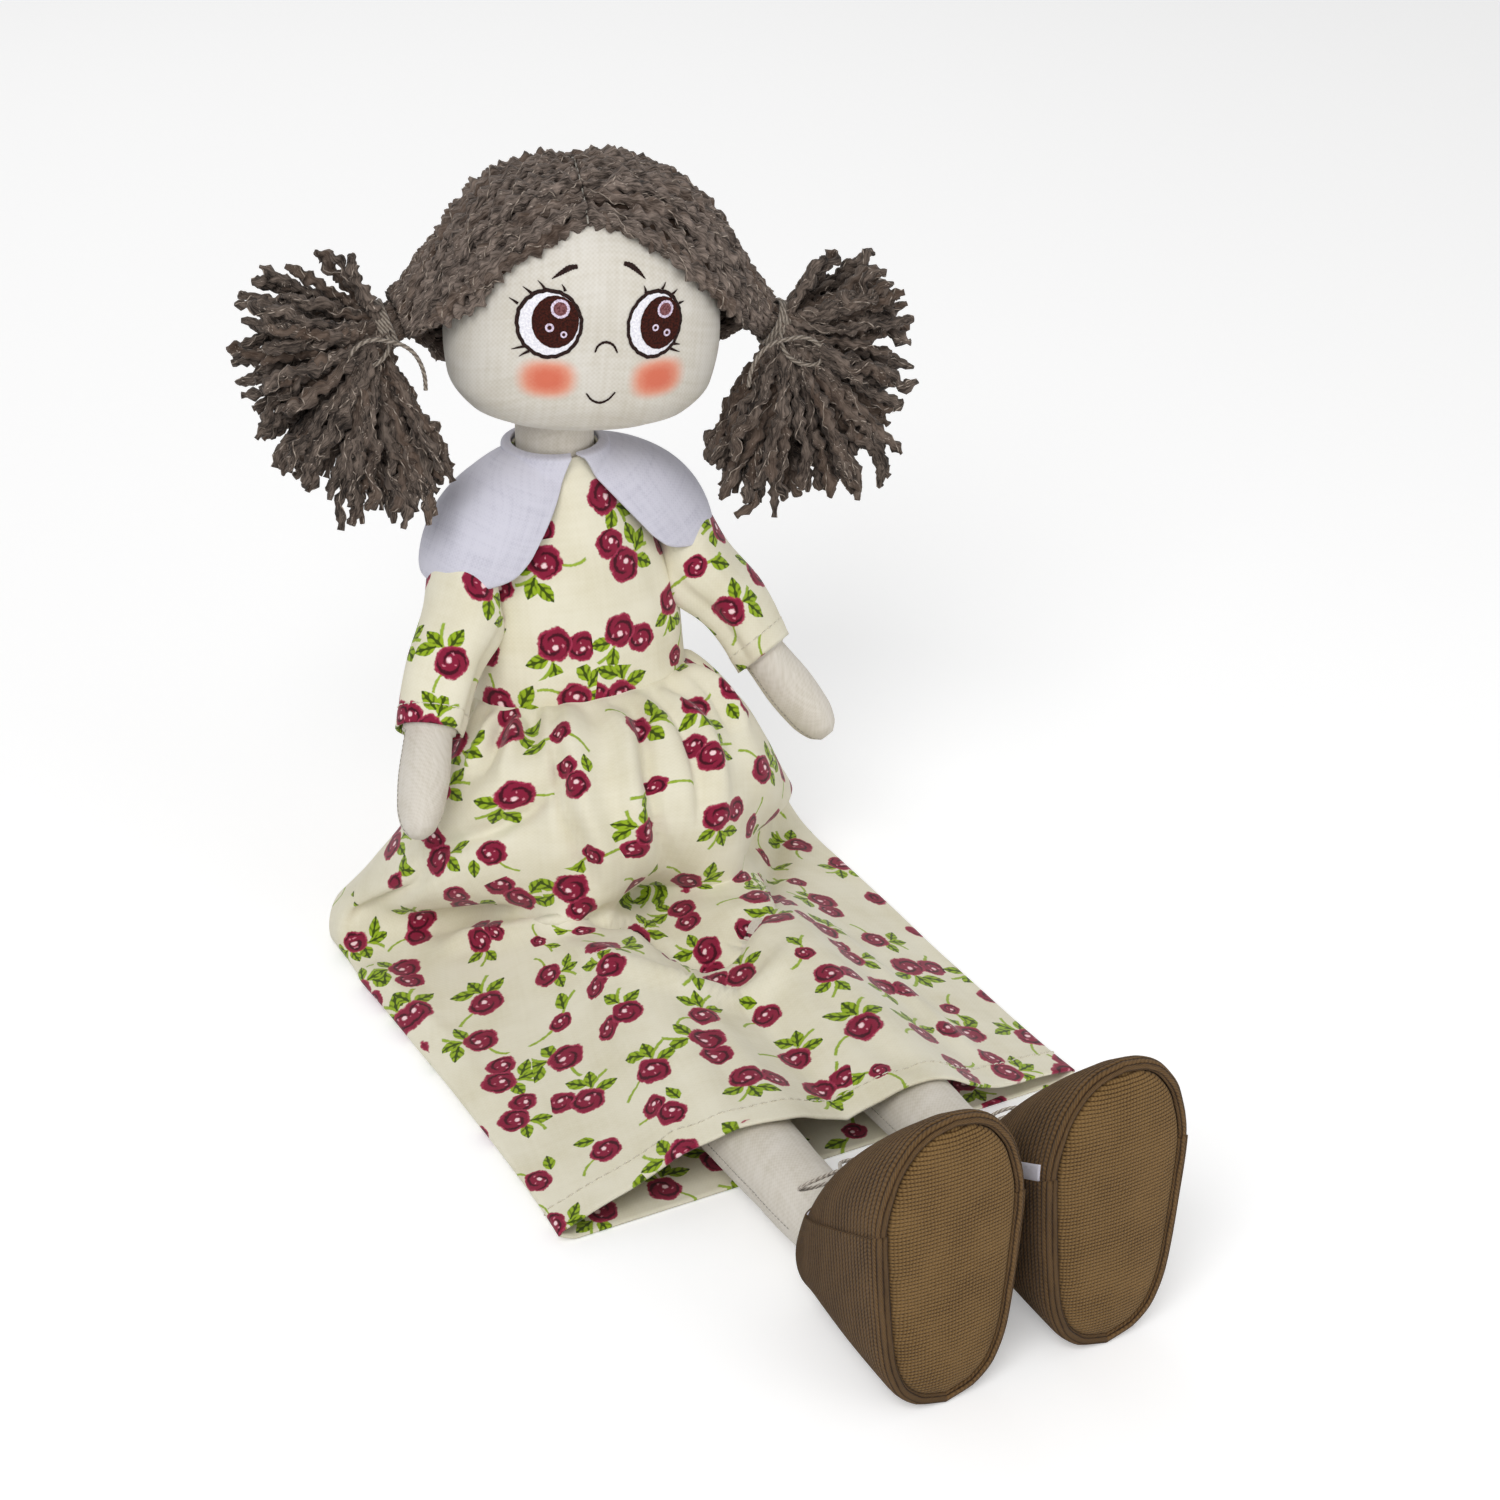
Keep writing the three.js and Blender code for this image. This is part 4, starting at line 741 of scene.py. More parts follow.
def turn_head(points):
    """From the head's own place, with the face forward, to the doll's."""
    c, s = math.cos(head_lean), math.sin(head_lean)
    x, y, z = points[..., 0] + head_shift, points[..., 1], points[..., 2] - chin_z
    x, z = x * c + z * s, z * c - x * s + chin_z
    c, s = math.cos(head_turn), math.sin(head_turn)
    return stack(x * c + y * s, neck_y - x * s + y * c, z)


# Cords: the bow of each shoe, through spots given as (outwards across the shoe, towards the toe, out
# of the upper), and the loose end of each hair tie, as (along the bunch, backwards, upwards).

bow_route = [
    (-5.5, 10.5, 0.9), (-3.8, 6.5, 1.2), (-1.6, 2.6, 1.3), (0.6, 0, 1.2), (4, -2.4, 1.3),
    (8.4, -3.6, 1.6), (11.6, -1.8, 1.9), (11, 1.2, 2.1), (7, 2, 2.4), (2.4, 1, 2.8),
    (-1.8, -0.6, 2.9), (-6, -2.6, 2.6), (-10, -2.9, 2.1), (-12, -0.6, 1.9), (-10.2, 2, 2.2),
    (-6, 2.3, 3.2), (-1.6, 1.4, 4.3), (1.4, 2.8, 4.2), (3.6, 6.4, 2.8), (5.6, 10.8, 1.4), (6.6, 14, 1),
]
tail_route = [
    (5, -7.35, -0.4), (5.6, -9.2, -2.2), (8.6, -10.4, -4.4), (13, -11.4, -4.6), (16.4, -12.4, -2.4),
    (16, -13.2, 0.8), (12.4, -13, 2.6), (8.6, -12.4, 2), (5.6, -12.2, 0), (2.8, -12, -2.4),
    (1, -12, -5.4), (0.4, -12.2, -9), (0.8, -12.4, -12.6), (2, -12.8, -16),
]


def bow_points(side):
    """The bow's spots on a shoe, at the front of its opening."""
    front_z = 2 * opening_half_length
    top_y = insole_y + shoe_depth
    slope = np.array([0.0, -shoe_depth, sole_length - front_z])
    slope /= np.linalg.norm(slope)
    off = np.array([0.0, slope[2], -slope[1]])
    centre = np.array([side * leg_x, top_y, front_z]) + slope * lace_radius
    return np.array([centre + [side * a, 0, 0] + slope * u + off * (o + lace_radius)
                     for a, u, o in bow_route])


def tie_to_head(points, side):
    """From a tie's own frame, X out along the bunch, to the head's."""
    c, s = math.cos(tie_tilt), math.sin(tie_tilt)
    p = np.asarray(points, float)
    x = p[..., 0] * c + p[..., 2] * s
    z = p[..., 2] * c - p[..., 0] * s
    return stack(side * (tie_x + x), face_y + p[..., 1], tie_z + z)


def make_cord(name, points, radius, body, node, slot, material):
    """Twisted thread through spots, in place of the solids' own thread."""
    path = smooth_path(points, 150)
    tubes = [tube_points(path, np.full(len(path), radius), 10, flat=0.12, twist=0.45)]
    made = tubes_object(name, tubes, material)
    finish_piece(made, body, [node], slot)
    path_length(path) * MM


for side, place in SIDES:
    make_cord(f"shoe_bow_{place}", bow_points(side), lace_radius, f"leg_{place}", f"lace_{place}",
              "shoe_lace", lace_thread)
    make_cord(f"tie_end_{place}", turn_head(tie_to_head(tail_route, side)), thread_radius,
              f"pigtail_{place}", f"tie_tail_{place}", "tie_thread", tie_thread)


# Body with its neck

seat_shares = [
    (0, 0.74, 0.72), (0.03, 0.88, 0.88), (0.1, 0.98, 0.98), (0.35, 1, 1), (0.7, 0.95, 0.93),
    (1, 0.92, 0.85),
]
chest_shares = [
    (0, 1, 1, 0), (0.3, 0.9, 0.94, 0.12), (0.55, 0.76, 0.85, 0.3), (0.72, 0.58, 0.77, 0.52),
    (0.86, 0.28, 0.55, 0.78), (0.95, 0.07, 0.14, 0.94), (1, 0, 0, 1),
]
waist_width = body_half_width * seat_shares[-1][1]
waist_depth = body_half_depth * seat_shares[-1][2]


def body_at(z):
    """Middle, half-width and half-depth of the stuffed body at heights."""
    seat = read_shares(seat_shares, (z - body_bottom_z) / (waist_z - body_bottom_z))
    chest = read_shares(chest_shares, (z - waist_z) / (neckline_z - waist_z))
    low = z < waist_z
    y = np.where(low, body_y, mix(body_y, neck_y, chest[..., 2]))
    sizes = []
    for k, half, waist in ((0, body_half_width, waist_width), (1, body_half_depth, waist_depth)):
        chest_size = neck_radius + (waist - neck_radius) * chest[..., k]
        sizes.append(np.where(low, half * seat[..., k], chest_size))
    return y, *sizes


def ring_grid(z, y, width, depth, columns=72, power=2.0):
    """Level rings, each an oval or a superellipse."""
    angle = turns_round(columns)[None, :]
    x = width[:, None] * bend(np.cos(angle), power)
    return stack(x, y[:, None] + depth[:, None] * bend(np.sin(angle), power), z[:, None])


def make_body():
    neck = np.linspace(neckline_z + 1, neck_top_z, 16)
    z = np.concatenate([np.linspace(body_bottom_z, neckline_z, 60), neck])
    y, width, depth = body_at(z)
    crease = 0.35 * bump_at(z, 146, 1.6) * (z > neckline_z) - 0.5 * step(150, 158, z)
    points = ring_grid(z, y, width - crease, depth - crease)
    made = grid_object("stuffed_body", points, skin, wrap=True, caps=(True, True))
    finish_piece(made, "torso", ["torso"], "cotton_skin")


def make_hip_cloth():
    """The flat cloth under the dress that joins the legs to the body."""
    radius = flap_thickness / 2
    turns = np.linspace(-math.pi / 2, math.pi / 2, 9)
    edge = [(radius * math.cos(a), radius * math.sin(a)) for a in turns]
    profile = [(-flap_length + 0.2, -radius), *edge, (-flap_length + 0.2, radius)]
    x = np.linspace(-flap_half_width, flap_half_width, 41)
    points = np.array([[(px, hip_y + y, hip_z + z) for y, z in profile] for px in x])
    made = grid_object("hip_cloth", points, skin, wrap=True, caps=(True, True))
    finish_piece(made, "hips", ["hip_flap"], "cotton_skin")


make_body()
make_hip_cloth()

# Bodice. Each fold has an angle and its spread, a height and its reach, and how far it stands out.

dress_cloth = 0.7
bodice_folds = [
    (-2.55, 0.2, 97, 20, 1.1), (-2.2, 0.16, 88, 16, 0.8), (-0.6, 0.2, 97, 20, 1.2),
    (-0.95, 0.16, 88, 16, 0.8), (0.9, 0.25, 92, 18, 0.8), (2.2, 0.25, 92, 18, 0.8),
    (-1.25, 0.3, 80, 8, 0.35), (-1.9, 0.3, 80, 8, 0.35), (-0.1, 0.4, 98, 15, 2.0),
    (-3.04, 0.4, 98, 15, 2.0),
]


def bodice_at(z):
    """Middle, half-width and half-depth of the bodice, which follows the body to the waist seam."""
    y, width, depth = body_at(z)
    flare = np.clip((shoulder_z - sleeve_radius - z) / (shoulder_z - sleeve_radius - waist_z), 0, 1)
    neck = np.clip((z - shoulder_z) / (neckline_z - shoulder_z), 0, 1)
    ease = mix(dress_gap, neckline_radius - neck_radius, neck)
    return y, mix(width + ease, waist_half_width, flare), mix(depth + ease, waist_half_depth, flare)


def make_bodice():
    z = np.linspace(waist_z - 0.6, neckline_z + 1.0, 70)
    y, width, depth = bodice_at(z)
    columns = 144
    angle = turns_round(columns)[None, :]
    fold = np.zeros((len(z), columns))
    for centre, spread, middle, tall, rise in bodice_folds:
        off = (angle - centre + math.pi) % TURN - math.pi
        fold += rise * bump_at(off, 0, spread) * bump_at(z[:, None], middle, tall)
    fold -= 0.9 * bump_at(z, neckline_z + 1.0, 2.0)[:, None]
    fold += 0.3 * bump_at(z, waist_z - 0.6, 1.0)[:, None]
    x = (width[:, None] + fold) * np.cos(angle)
    points = stack(x, y[:, None] + (depth[:, None] + fold) * np.sin(angle), z[:, None] + 0 * angle)
    uv = cloth_uv(points, True, start=columns * 3 // 4)
    made = grid_object("dress_bodice", points, roses, wrap=True, uv=uv + [36.0, 3.0])
    thicken(made, dress_cloth)
    finish_piece(made, "torso", ["bodice"], "rose_cotton")
    area = cloth_area(closed_grid(points))


make_bodice()

# Skirt. Each row down the cloth has the front's reach and height, the back's, the width and how far
# the cross-section has changed from round to lying over the legs.

skirt_rows = [
    (0.064, 1, -0.574, 1, 0.422, 0), (0.15, 0.985, -0.67, 0.88, 0.5, 0),
    (0.235, 0.9, -0.77, 0.74, 0.6, 0), (0.3, 0.77, -0.86, 0.58, 0.67, 0),
    (0.325, 0.62, -0.94, 0.42, 0.75, 0.05),
    (0.318, 0.47, -0.99, 0.26, 0.86, 0.2), (0.295, 0.345, -0.97, 0.1, 0.95, 0.55),
    (0.33, 0.34, -0.62, 0, 1, 0.85), (0.41, 0.362, -0.1, 0, 1, 1), (0.54, 0.368, 0.26, 0, 0.995, 1),
    (0.68, 0.366, 0.5, 0, 0.985, 1), (0.83, 0.362, 0.74, 0, 0.985, 1), (0.93, 0.36, 0.9, 0, 0.99, 1),
    (1, 0.358, 1, 0, 1, 1),
]
skirt_shares = [(i / (len(skirt_rows) - 1), *row) for i, row in enumerate(skirt_rows)]
lap_shares = [
    (0, 0.66), (0.1, 0.78), (0.2, 0.98), (0.29, 1.02), (0.38, 0.97), (0.48, 0.74), (0.62, 0.42),
    (0.8, 0.28), (1, 0.2),
]
hem_shares = [
    (0, 0.7), (0.1, 0.82), (0.2, 0.95), (0.29, 0.98), (0.38, 0.93), (0.48, 0.78), (0.62, 0.58),
    (0.8, 0.4), (1, 0.26),
]
hem_forward_shares = [
    (-0.8, 0), (-0.6, 1.5), (-0.42, 7), (-0.25, 11), (0, 9.5), (0.2, 12), (0.4, 12.5), (0.6, 8),
    (0.8, 3.5), (1, 0),
]
floor_width_share = 0.9
floor_flat_share = 0.85
fold_strength = 2.15
fold_narrowing = 0.85
side_dip_place = 0.64
side_dip = 0.25
lowest_cloth_z = 0.35

# Each fold runs through (place down the cloth, angle) and has a width and a height.
skirt_folds = [
    ([(0.01, 2.06), (0.1, 2.13), (0.16, 2.11), (0.21, 2.11), (0.28, 2.02), (0.38, 1.9)], 2.4, -1.9),
    ([(0.01, 1.94), (0.1, 2), (0.16, 1.99), (0.21, 1.99), (0.28, 1.91), (0.38, 1.8)], 4.2, 1.5),
    ([(0.03, 1.41), (0.1, 1.47), (0.15, 1.54), (0.2, 1.59), (0.28, 1.59), (0.39, 1.5)], 2.4, -1.9),
    ([(0.03, 1.54), (0.1, 1.6), (0.15, 1.67), (0.2, 1.71), (0.28, 1.7), (0.39, 1.6)], 4, 1.3),
    ([(0.17, 2.13), (0.21, 2.3), (0.25, 2.53), (0.28, 2.77), (0.31, 2.98)], 3, -2),
    ([(0.11, 2.2), (0.15, 2.35), (0.19, 2.55), (0.22, 2.8)], 6, 1.5),
    ([(0.03, 2.74), (0.12, 2.77), (0.17, 2.83)], 2.2, 1.3),
    ([(0.03, 2.6), (0.12, 2.63), (0.17, 2.67)], 2.2, -1.3),
    ([(0.02, 2.42), (0.11, 2.46), (0.17, 2.5)], 2.4, 1.3),
    ([(0.02, 1.17), (0.1, 1.18), (0.2, 1.26), (0.3, 1.36)], 2.6, -1.5),
    ([(0.02, 1.03), (0.12, 1.04), (0.2, 1.12), (0.3, 1.22)], 4, 1.4),
    ([(0.02, 0.72), (0.1, 0.74), (0.18, 0.84)], 2.6, -1.3),
    ([(0.02, 0.58), (0.1, 0.6), (0.18, 0.7)], 3, 1.2),
    ([(0.45, 0.35), (0.53, 0.55), (0.6, 0.85), (0.62, 1.1), (0.64, 1.35)], 4, -1.7),
    ([(0.43, 1.89), (0.6, 1.69), (0.67, 1.62), (0.69, 1.5), (0.65, 1.38), (0.6, 1.25)], 3.4, -2.8),
    ([(0.6, 2), (0.71, 1.78), (0.76, 1.55), (0.7, 1.3)], 4, 2.2),
    ([(0.6, 2.37), (0.54, 2.13), (0.47, 2), (0.43, 1.88)], 4.6, 2),
    ([(0.53, 2.42), (0.48, 2.2), (0.42, 2.03)], 3.6, -1.9),
    ([(0.33, 2.85), (0.42, 2.8), (0.52, 2.86)], 3.6, -1.8),
    ([(0.6, 2.9), (0.68, 2.72), (0.8, 2.76)], 5, 1.3),
    ([(0.62, 1.92), (0.72, 2.02), (0.85, 2.1), (0.97, 2.16)], 4, 1.1),
    ([(0.72, 1.75), (0.82, 1.85), (0.95, 1.92)], 5, -1.1),
    ([(0.7, 1.3), (0.83, 1.34), (0.97, 1.3)], 5, -1.1),
    ([(0.66, 0.95), (0.8, 0.9), (0.95, 0.85)], 5, 1.2),
]


def skirt_points(rows=140, columns=220):
    """The skirt without its folds, with the place down the cloth and the angle of each row and column."""
    place = np.linspace(0, 1, rows)
    front_reach, front_rise, back_reach, back_rise, wide, flat = read_shares(skirt_shares, place).T
    front = stack(0 * place, -front_reach * skirt_front_reach, front_rise * waist_z)
    back_length = np.where(back_reach < 0, skirt_back_reach, skirt_front_reach)
    back = stack(0 * place, -back_reach * back_length, back_rise * waist_z)
    up = front - back
    depth = np.linalg.norm(up, axis=1)
    up = up / depth[:, None]
    angle = turns_round(columns)
    side = np.cos(angle)
    edge = np.sqrt(np.maximum(0, 1 - np.abs(side) ** skirt_fold_power))
    upper, lower = [read_shares(shares, np.abs(side))[:, 0] for shares in (lap_shares, hem_shares)]
    lap = mix(upper, lower, step(0.5, 1, place)[:, None]) * edge
    to_edge = np.clip((np.abs(side) - floor_width_share) / (1 - floor_width_share), 0, 1)
    lap = lap * (1 - side_dip * bump_at(side, side_dip_place, 0.2) * step(0.6, 1, place)[:, None])
    edge_lift = lap_shares[-1][1] * 0.5 * to_edge**2
    below = np.sin(angle) < 0
    lying = np.where(below, edge_lift, edge_lift + lap)
    round_share = 0.5 + 0.5 * np.sin(angle)
    flatness = np.where(below[None, :], np.minimum(1, flat[:, None] / floor_flat_share), flat[:, None])
    share = mix(round_share[None, :], lying, flatness)
    x = side[None, :] * (wide * skirt_half_width)[:, None]
    base = back[:, None] + up[:, None] * (depth[:, None] * share)[..., None]
    base[..., 0] += x
    forward = read_shares(hem_forward_shares, side)[:, 0] * step(-0.05, 0.35, np.sin(angle))
    base[..., 1] -= forward * step(0.5, 1, place)[:, None]
    return base, place, angle


def grid_normals(points, centre):
    """Directions out of a wrapped grid, away from its centre."""
    across = np.roll(points, -1, axis=1) - np.roll(points, 1, axis=1)
    normal = np.cross(across, np.gradient(points, axis=0))
    normal = normal / np.maximum(1e-9, np.linalg.norm(normal, axis=-1, keepdims=True))
    return normal * np.sign(np.sum(normal * (points - centre), axis=-1).mean())


def on_grid(points, place, angle):
    """Points of a wrapped grid at places down it and angles round it."""
    i, j = place * (len(points) - 1), angle / TURN * points.shape[1]
    i0, j0 = np.clip(i.astype(int), 0, len(points) - 2), j.astype(int)
    j1 = (j0 + 1) % points.shape[1]
    share = (j - j0)[:, None]
    upper, lower = [mix(points[row, j0], points[row, j1], share) for row in (i0, i0 + 1)]
    return mix(upper, lower, (i - i0)[:, None])


def fold_rise(points):
    """Height of the listed folds and creases over each grid point."""
    rise = np.zeros(points.shape[:2])
    for spots, width, height in skirt_folds:
        spots = np.array(spots, float)
        line = smooth_path(np.column_stack([spots, 0 * spots[:, 0]]), 40)
        at = on_grid(points, line[:, 0], line[:, 1])
        apart = np.linalg.norm(points[:, :, None] - at, axis=-1)
        nearest = apart.argmin(axis=-1)
        taper = np.sin(math.pi * (nearest + 0.5) / len(at)) ** 0.6
        rise += fold_strength * height * taper * bump_at(apart.min(axis=-1), 0, fold_narrowing * width)
    return rise


# Pitch of each net that the layout is evened out on, and its rounds
relax_plan = ((10, 900), (5, 500), (2, 250), (1, 120))
relax_pace = 0.3


def relax_net(points, uv, rounds):
    """Moves the corners of a layout until its links are about as long as those on the piece."""
    rows, columns = uv.shape[:2]
    links = []
    for first, second in (((0, 0), (0, 1)), ((0, 0), (1, 0)), ((0, 0), (1, 1)), ((0, 1), (1, 0))):
        high, wide = rows - max(first[0], second[0]), columns - max(first[1], second[1])
        a, b = [(slice(r, r + high), slice(c, c + wide)) for r, c in (first, second)]
        links.append((a, b, np.linalg.norm(points[b] - points[a], axis=-1)[..., None]))
    uv = uv.copy()
    for _ in range(rounds):
        shift = np.zeros_like(uv)
        for a, b, rest in links:
            apart = uv[b] - uv[a]
            length = np.maximum(1e-6, np.linalg.norm(apart, axis=-1, keepdims=True))
            half = apart * (0.5 * (1 - rest / length))
            shift[a] += half
            shift[b] -= half
        uv += relax_pace * shift
    return uv


def fill_between(values, rows, columns, shape):
    """Values known at some rows and columns of a grid, for all of it."""
    high, wide = np.arange(shape[0]), np.arange(shape[1])
    parts = [[np.interp(wide, columns, row) for row in values[..., k]] for k in (0, 1)]
    full = [[np.interp(high, rows, column) for column in np.array(part).T] for part in parts]
    return np.moveaxis(np.array(full), (0, 1, 2), (2, 1, 0))


def relax_cloth(points, uv):
    """Evens out a layout on the cloth, first on a coarse net and then on finer ones."""
    for pitch, rounds in relax_plan:
        spots = [np.linspace(0, n - 1, n // pitch + 1).round().astype(int) for n in uv.shape[:2]]
        rows, columns = [np.unique(some) for some in spots]
        some = np.ix_(rows, columns)
        moved = relax_net(points[some], uv[some], rounds) - uv[some]
        uv = uv + fill_between(moved, rows, columns, uv.shape[:2])
    return uv


def make_skirt():
    base, place, angle = skirt_points()
    centre = base.mean(axis=1, keepdims=True)
    normal = grid_normals(base, centre)
    p, a = place[:, None], angle[None, :]
    upper = step(-0.1, 0.3, np.sin(a))
    gather = 0.0
    for count, phase, size in ((9, 0.4, 0.9), (14, 1.9, 0.7), (23, 0.7, 0.5), (5, 2.6, 0.8)):
        gather = gather + size * np.cos(count * a + phase + 0.8 * np.sin(3 * a))
    fold = gather * 1.2 * bump_at(p, 0.05, 0.08) * step(0, 0.03, p)
    fold = fold + gather * 0.5 * bump_at(p, 0.2, 0.16) + fold_rise(base)
    hem_wave = np.cos(6 * a + 0.8) + 0.7 * np.cos(11 * a + 2.1)
    fold = fold + 0.4 * hem_wave * step(0.8, 1.0, p) * upper
    points = base + normal * fold[..., None]
    points[..., 2] = np.maximum(points[..., 2], lowest_cloth_z)
    front = len(angle) // 4
    tuck = mix(centre[:1], points[:1], np.array([0.93, 0.97, 0.985])[:, None, None])
    tuck = tuck + stack(0, 0, np.array([1.8, 1.2, 0.6]))[:, None]
    points = np.concatenate([tuck, points])
    normal = np.concatenate([normal[:1], normal[:1], normal[:1], normal])
    uv = relax_cloth(closed_grid(points), cloth_uv(points, True, start=front))
    made = grid_object("dress_skirt", points, roses, wrap=True, uv=uv + [140.0, 60.0])
    thicken(made, dress_cloth)
    area = cloth_area(closed_grid(points))
    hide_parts("skirt")
    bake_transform(made)
    return points, normal


skirt_surface, skirt_normal = make_skirt()

# Collar. Half a turn leads from the front to the nape, and the fall from the neck to the edge.

drape_shares = [
    (0, 0.44), (0.1, 0.47), (0.18, 0.55), (0.25, 0.66), (0.31, 0.79), (0.35, 0.9), (0.41, 1),
    (0.47, 1.02), (0.53, 0.97), (0.59, 0.84), (0.66, 0.73), (0.75, 0.63), (0.86, 0.55), (1, 0.5),
]
lobe_start_shares = [(0, 0.015), (0.35, 0.075), (0.7, 0.155), (1, 0.235)]
lobe_fall_shares = [
    (0, 0.85), (0.06, 0.93), (0.14, 0.955), (0.3, 0.945), (0.42, 0.89), (0.55, 0.84), (0.75, 0.8), (1, 0.7),
]
lobe_end_share = 0.97
lobe_wave = 0.35
lobe_power = 2.35
neck_hug_radius = 11.2


def collar_point(side, turn_share, fall, lift):
    """A place on a lobe, lifted off the dress."""
    turn = math.pi * turn_share
    reach = collar_half_width * read_shares(drape_shares, turn_share)[..., 0]
    angle = fall * math.pi / 2
    neck = mix(neck_hug_radius, collar_neck_radius, step(0, 0.12, fall))
    out = np.maximum(neck, reach * bend(np.sin(angle), lobe_power)) + lift
    z = collar_eave_z + (collar_rise + lift) * bend(np.cos(angle), lobe_power)
    centre_y = mix(neck_y, collar_y, np.clip(fall, 0, 1))
    return stack(side * out * np.sin(turn), centre_y - out * np.cos(turn), z)


def make_collar(side, place):
    v = np.linspace(0, 1, 30)[:, None]
    u = np.linspace(0, 1, 64)[None, :]
    start = read_shares(lobe_start_shares, v)[..., 0]
    turn_share = mix(start, lobe_end_share, u)
    fall = read_shares(lobe_fall_shares, u)[..., 0] * v
    wave = lobe_wave * np.sin(9 * u + 1.0) * v
    points = collar_point(side, turn_share, fall, collar_cloth * 0.6 + wave)
    made = grid_object(f"linen_collar_{place}", points, linen, uv=cloth_uv(points, False))
    thicken(made, collar_cloth, offset=0.0)
    made.modifiers.new("fine_surface", "SUBSURF").render_levels = 1
    finish_piece(made, "torso", [f"collar_{place}"], "white_linen")
    max(0.3 * 0.075 * 0.06, cloth_area(points) * MM * MM)


for side, place in SIDES:
    make_collar(side, place)

# Sleeves, arms and hands. A sleeve's rows: share of its length, tilt, way out, forward and down, taper.

sleeve_shares = [
    (0, 0, 0, 0, 0, 0), (0.14, 0.36, 0.2, 0.08, 0.02, 0), (0.3, 0.66, 0.34, 0.27, 0.18, 0.15),
    (0.48, 0.88, 0.45, 0.5, 0.38, 0.45), (0.74, 1, 0.74, 0.76, 0.64, 0.7), (1, 1, 1, 1, 1, 1),
]
hand_shares = [
    (0, 0, 0.8, 0.8), (0.15, 0.12, 0.86, 0.82), (0.45, 0.42, 1, 0.86), (0.72, 0.72, 0.94, 0.78),
    (0.9, 0.92, 0.66, 0.55), (1, 1, 0.3, 0.26),
]
armhole_x = float(bodice_at(np.array([shoulder_z - sleeve_radius]))[1][0]) + 0.3
arm_slack = 1.6
seam_stitch = {"stitch": 0.9, "gap": 0.45, "radius": 0.1}
reach_down = unit(hand_place - cuff_place)
section_side = unit(np.cross(reach_down, [1.0, 0.0, 0.0]))


def sleeve_sections(share):
    """Centres, the two section axes and radii of a sleeve on the doll's left, at shares of its length."""
    tilt, out, forward, down, taper = read_shares(sleeve_shares, share).T
    shoulder = (armhole_x, shoulder_y, shoulder_z)
    centre = stack(*[mix(shoulder[k], cuff_place[k], way) for k, way in enumerate((out, forward, down))])
    lean = (tilt * math.pi / 2)[:, None]
    normal = unit(np.array([1.0, 0, 0]) * np.cos(lean) + reach_down * np.sin(lean))
    other = unit(np.cross(section_side, normal))
    radius = mix(sleeve_radius, cuff_radius, taper)
    return centre, np.broadcast_to(section_side, centre.shape), other, radius


def section_rings(centre, side_axis, other, across, along, columns):
    """Rings round centres, each an oval on two axes."""
    angle = turns_round(columns)[None, :, None]
    return (centre[:, None] + side_axis[:, None] * across[:, None, None] * np.cos(angle)
            + other[:, None] * along[:, None, None] * np.sin(angle))


def make_sleeve(side, place):
    share = np.linspace(-0.06, 1.0, 70)
    centre, side_axis, other, radius = sleeve_sections(np.clip(share, 0, 1))
    centre = centre + np.minimum(share, 0)[:, None] * [60.0, 0, 0]
    columns = 96
    angle = ((turns_round(columns) + math.pi) % TURN)[None, :]
    s = share[:, None]
    fold = 0.8 * np.cos(3 * angle + 0.6 + 1.5 * s) * step(0.2, 0.6, s) * step(1.05, 0.85, s)
    for rise, middle, width in ((1.3, 4.2, 0.28), (-1.1, 4.75, 0.2)):
        ridge = rise * bump_at(angle, middle + 0.5 * s, width)
        fold = fold + ridge * step(0.25, 0.5, s) * step(1.05, 0.9, s)
    fold = fold + 3.6 * bump_at(angle, 4.71, 0.7) * bump_at(s, 0.48, 0.27) + 0.2 * step(0.92, 0.94, s)
    ring = radius[:, None] + fold
    grown = (centre[:, None] + side_axis[:, None] * (ring * np.cos(angle))[..., None]
             + other[:, None] * (ring * np.sin(angle))[..., None])
    grown[..., 0] *= side
    uv = cloth_uv(grown, True, start=columns // 2)
    uv = relax_cloth(closed_grid(grown), uv) + [400.0 + 90 * side, 20.0]
    made = grid_object(f"dress_sleeve_{place}", grown, roses, wrap=True, uv=uv)
    thicken(made, dress_cloth)
    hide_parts(f"sleeve_{place}")
    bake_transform(made)
    area = cloth_area(closed_grid(grown))
    lift = unit(grown[-5] - grown[-5].mean(axis=0)) * 0.25
    stitches = tubes_object(f"cuff_stitch_{place}", stitch_row(closed_ring(grown[-6]), closed_ring(lift)),
                            cream_thread)
    finish_piece(stitches, f"arm_{place}", slot="rose_cotton")


def make_arm(side, place):
    """A stuffed arm inside its sleeve, with a mitten hand."""
    centre, side_axis, other, radius = sleeve_sections(np.linspace(0, 1, 30))
    way, width, thick = read_shares(hand_shares, np.linspace(0, 1, 44))[1:].T
    centre = np.vstack([centre, cuff_place + (hand_place - cuff_place) * way[:, None]])
    side_axis, other = [np.vstack([axis, np.repeat(axis[-1:], len(way), axis=0)])
                        for axis in (side_axis, other)]
    across, along = [np.concatenate([radius - arm_slack, hand_radius * part]) for part in (width, thick)]
    points = section_rings(centre, side_axis, other, across, along, 56)
    points[..., 0] *= side
    made = grid_object(f"stuffed_arm_{place}", points, skin, wrap=True, caps=(True, True))
    finish_piece(made, f"arm_{place}", [f"arm_{place}"], "cotton_skin")
    middle = points.mean(axis=1, keepdims=True)
    seams = []
    for column in (14, 42):
        line = points[26:, column]
        seams += stitch_row(line, unit(line - middle[26:, 0]) * 0.22, **seam_stitch)
    finish_piece(tubes_object(f"hand_seam_{place}", seams, seam_thread), f"arm_{place}", slot="cotton_skin")


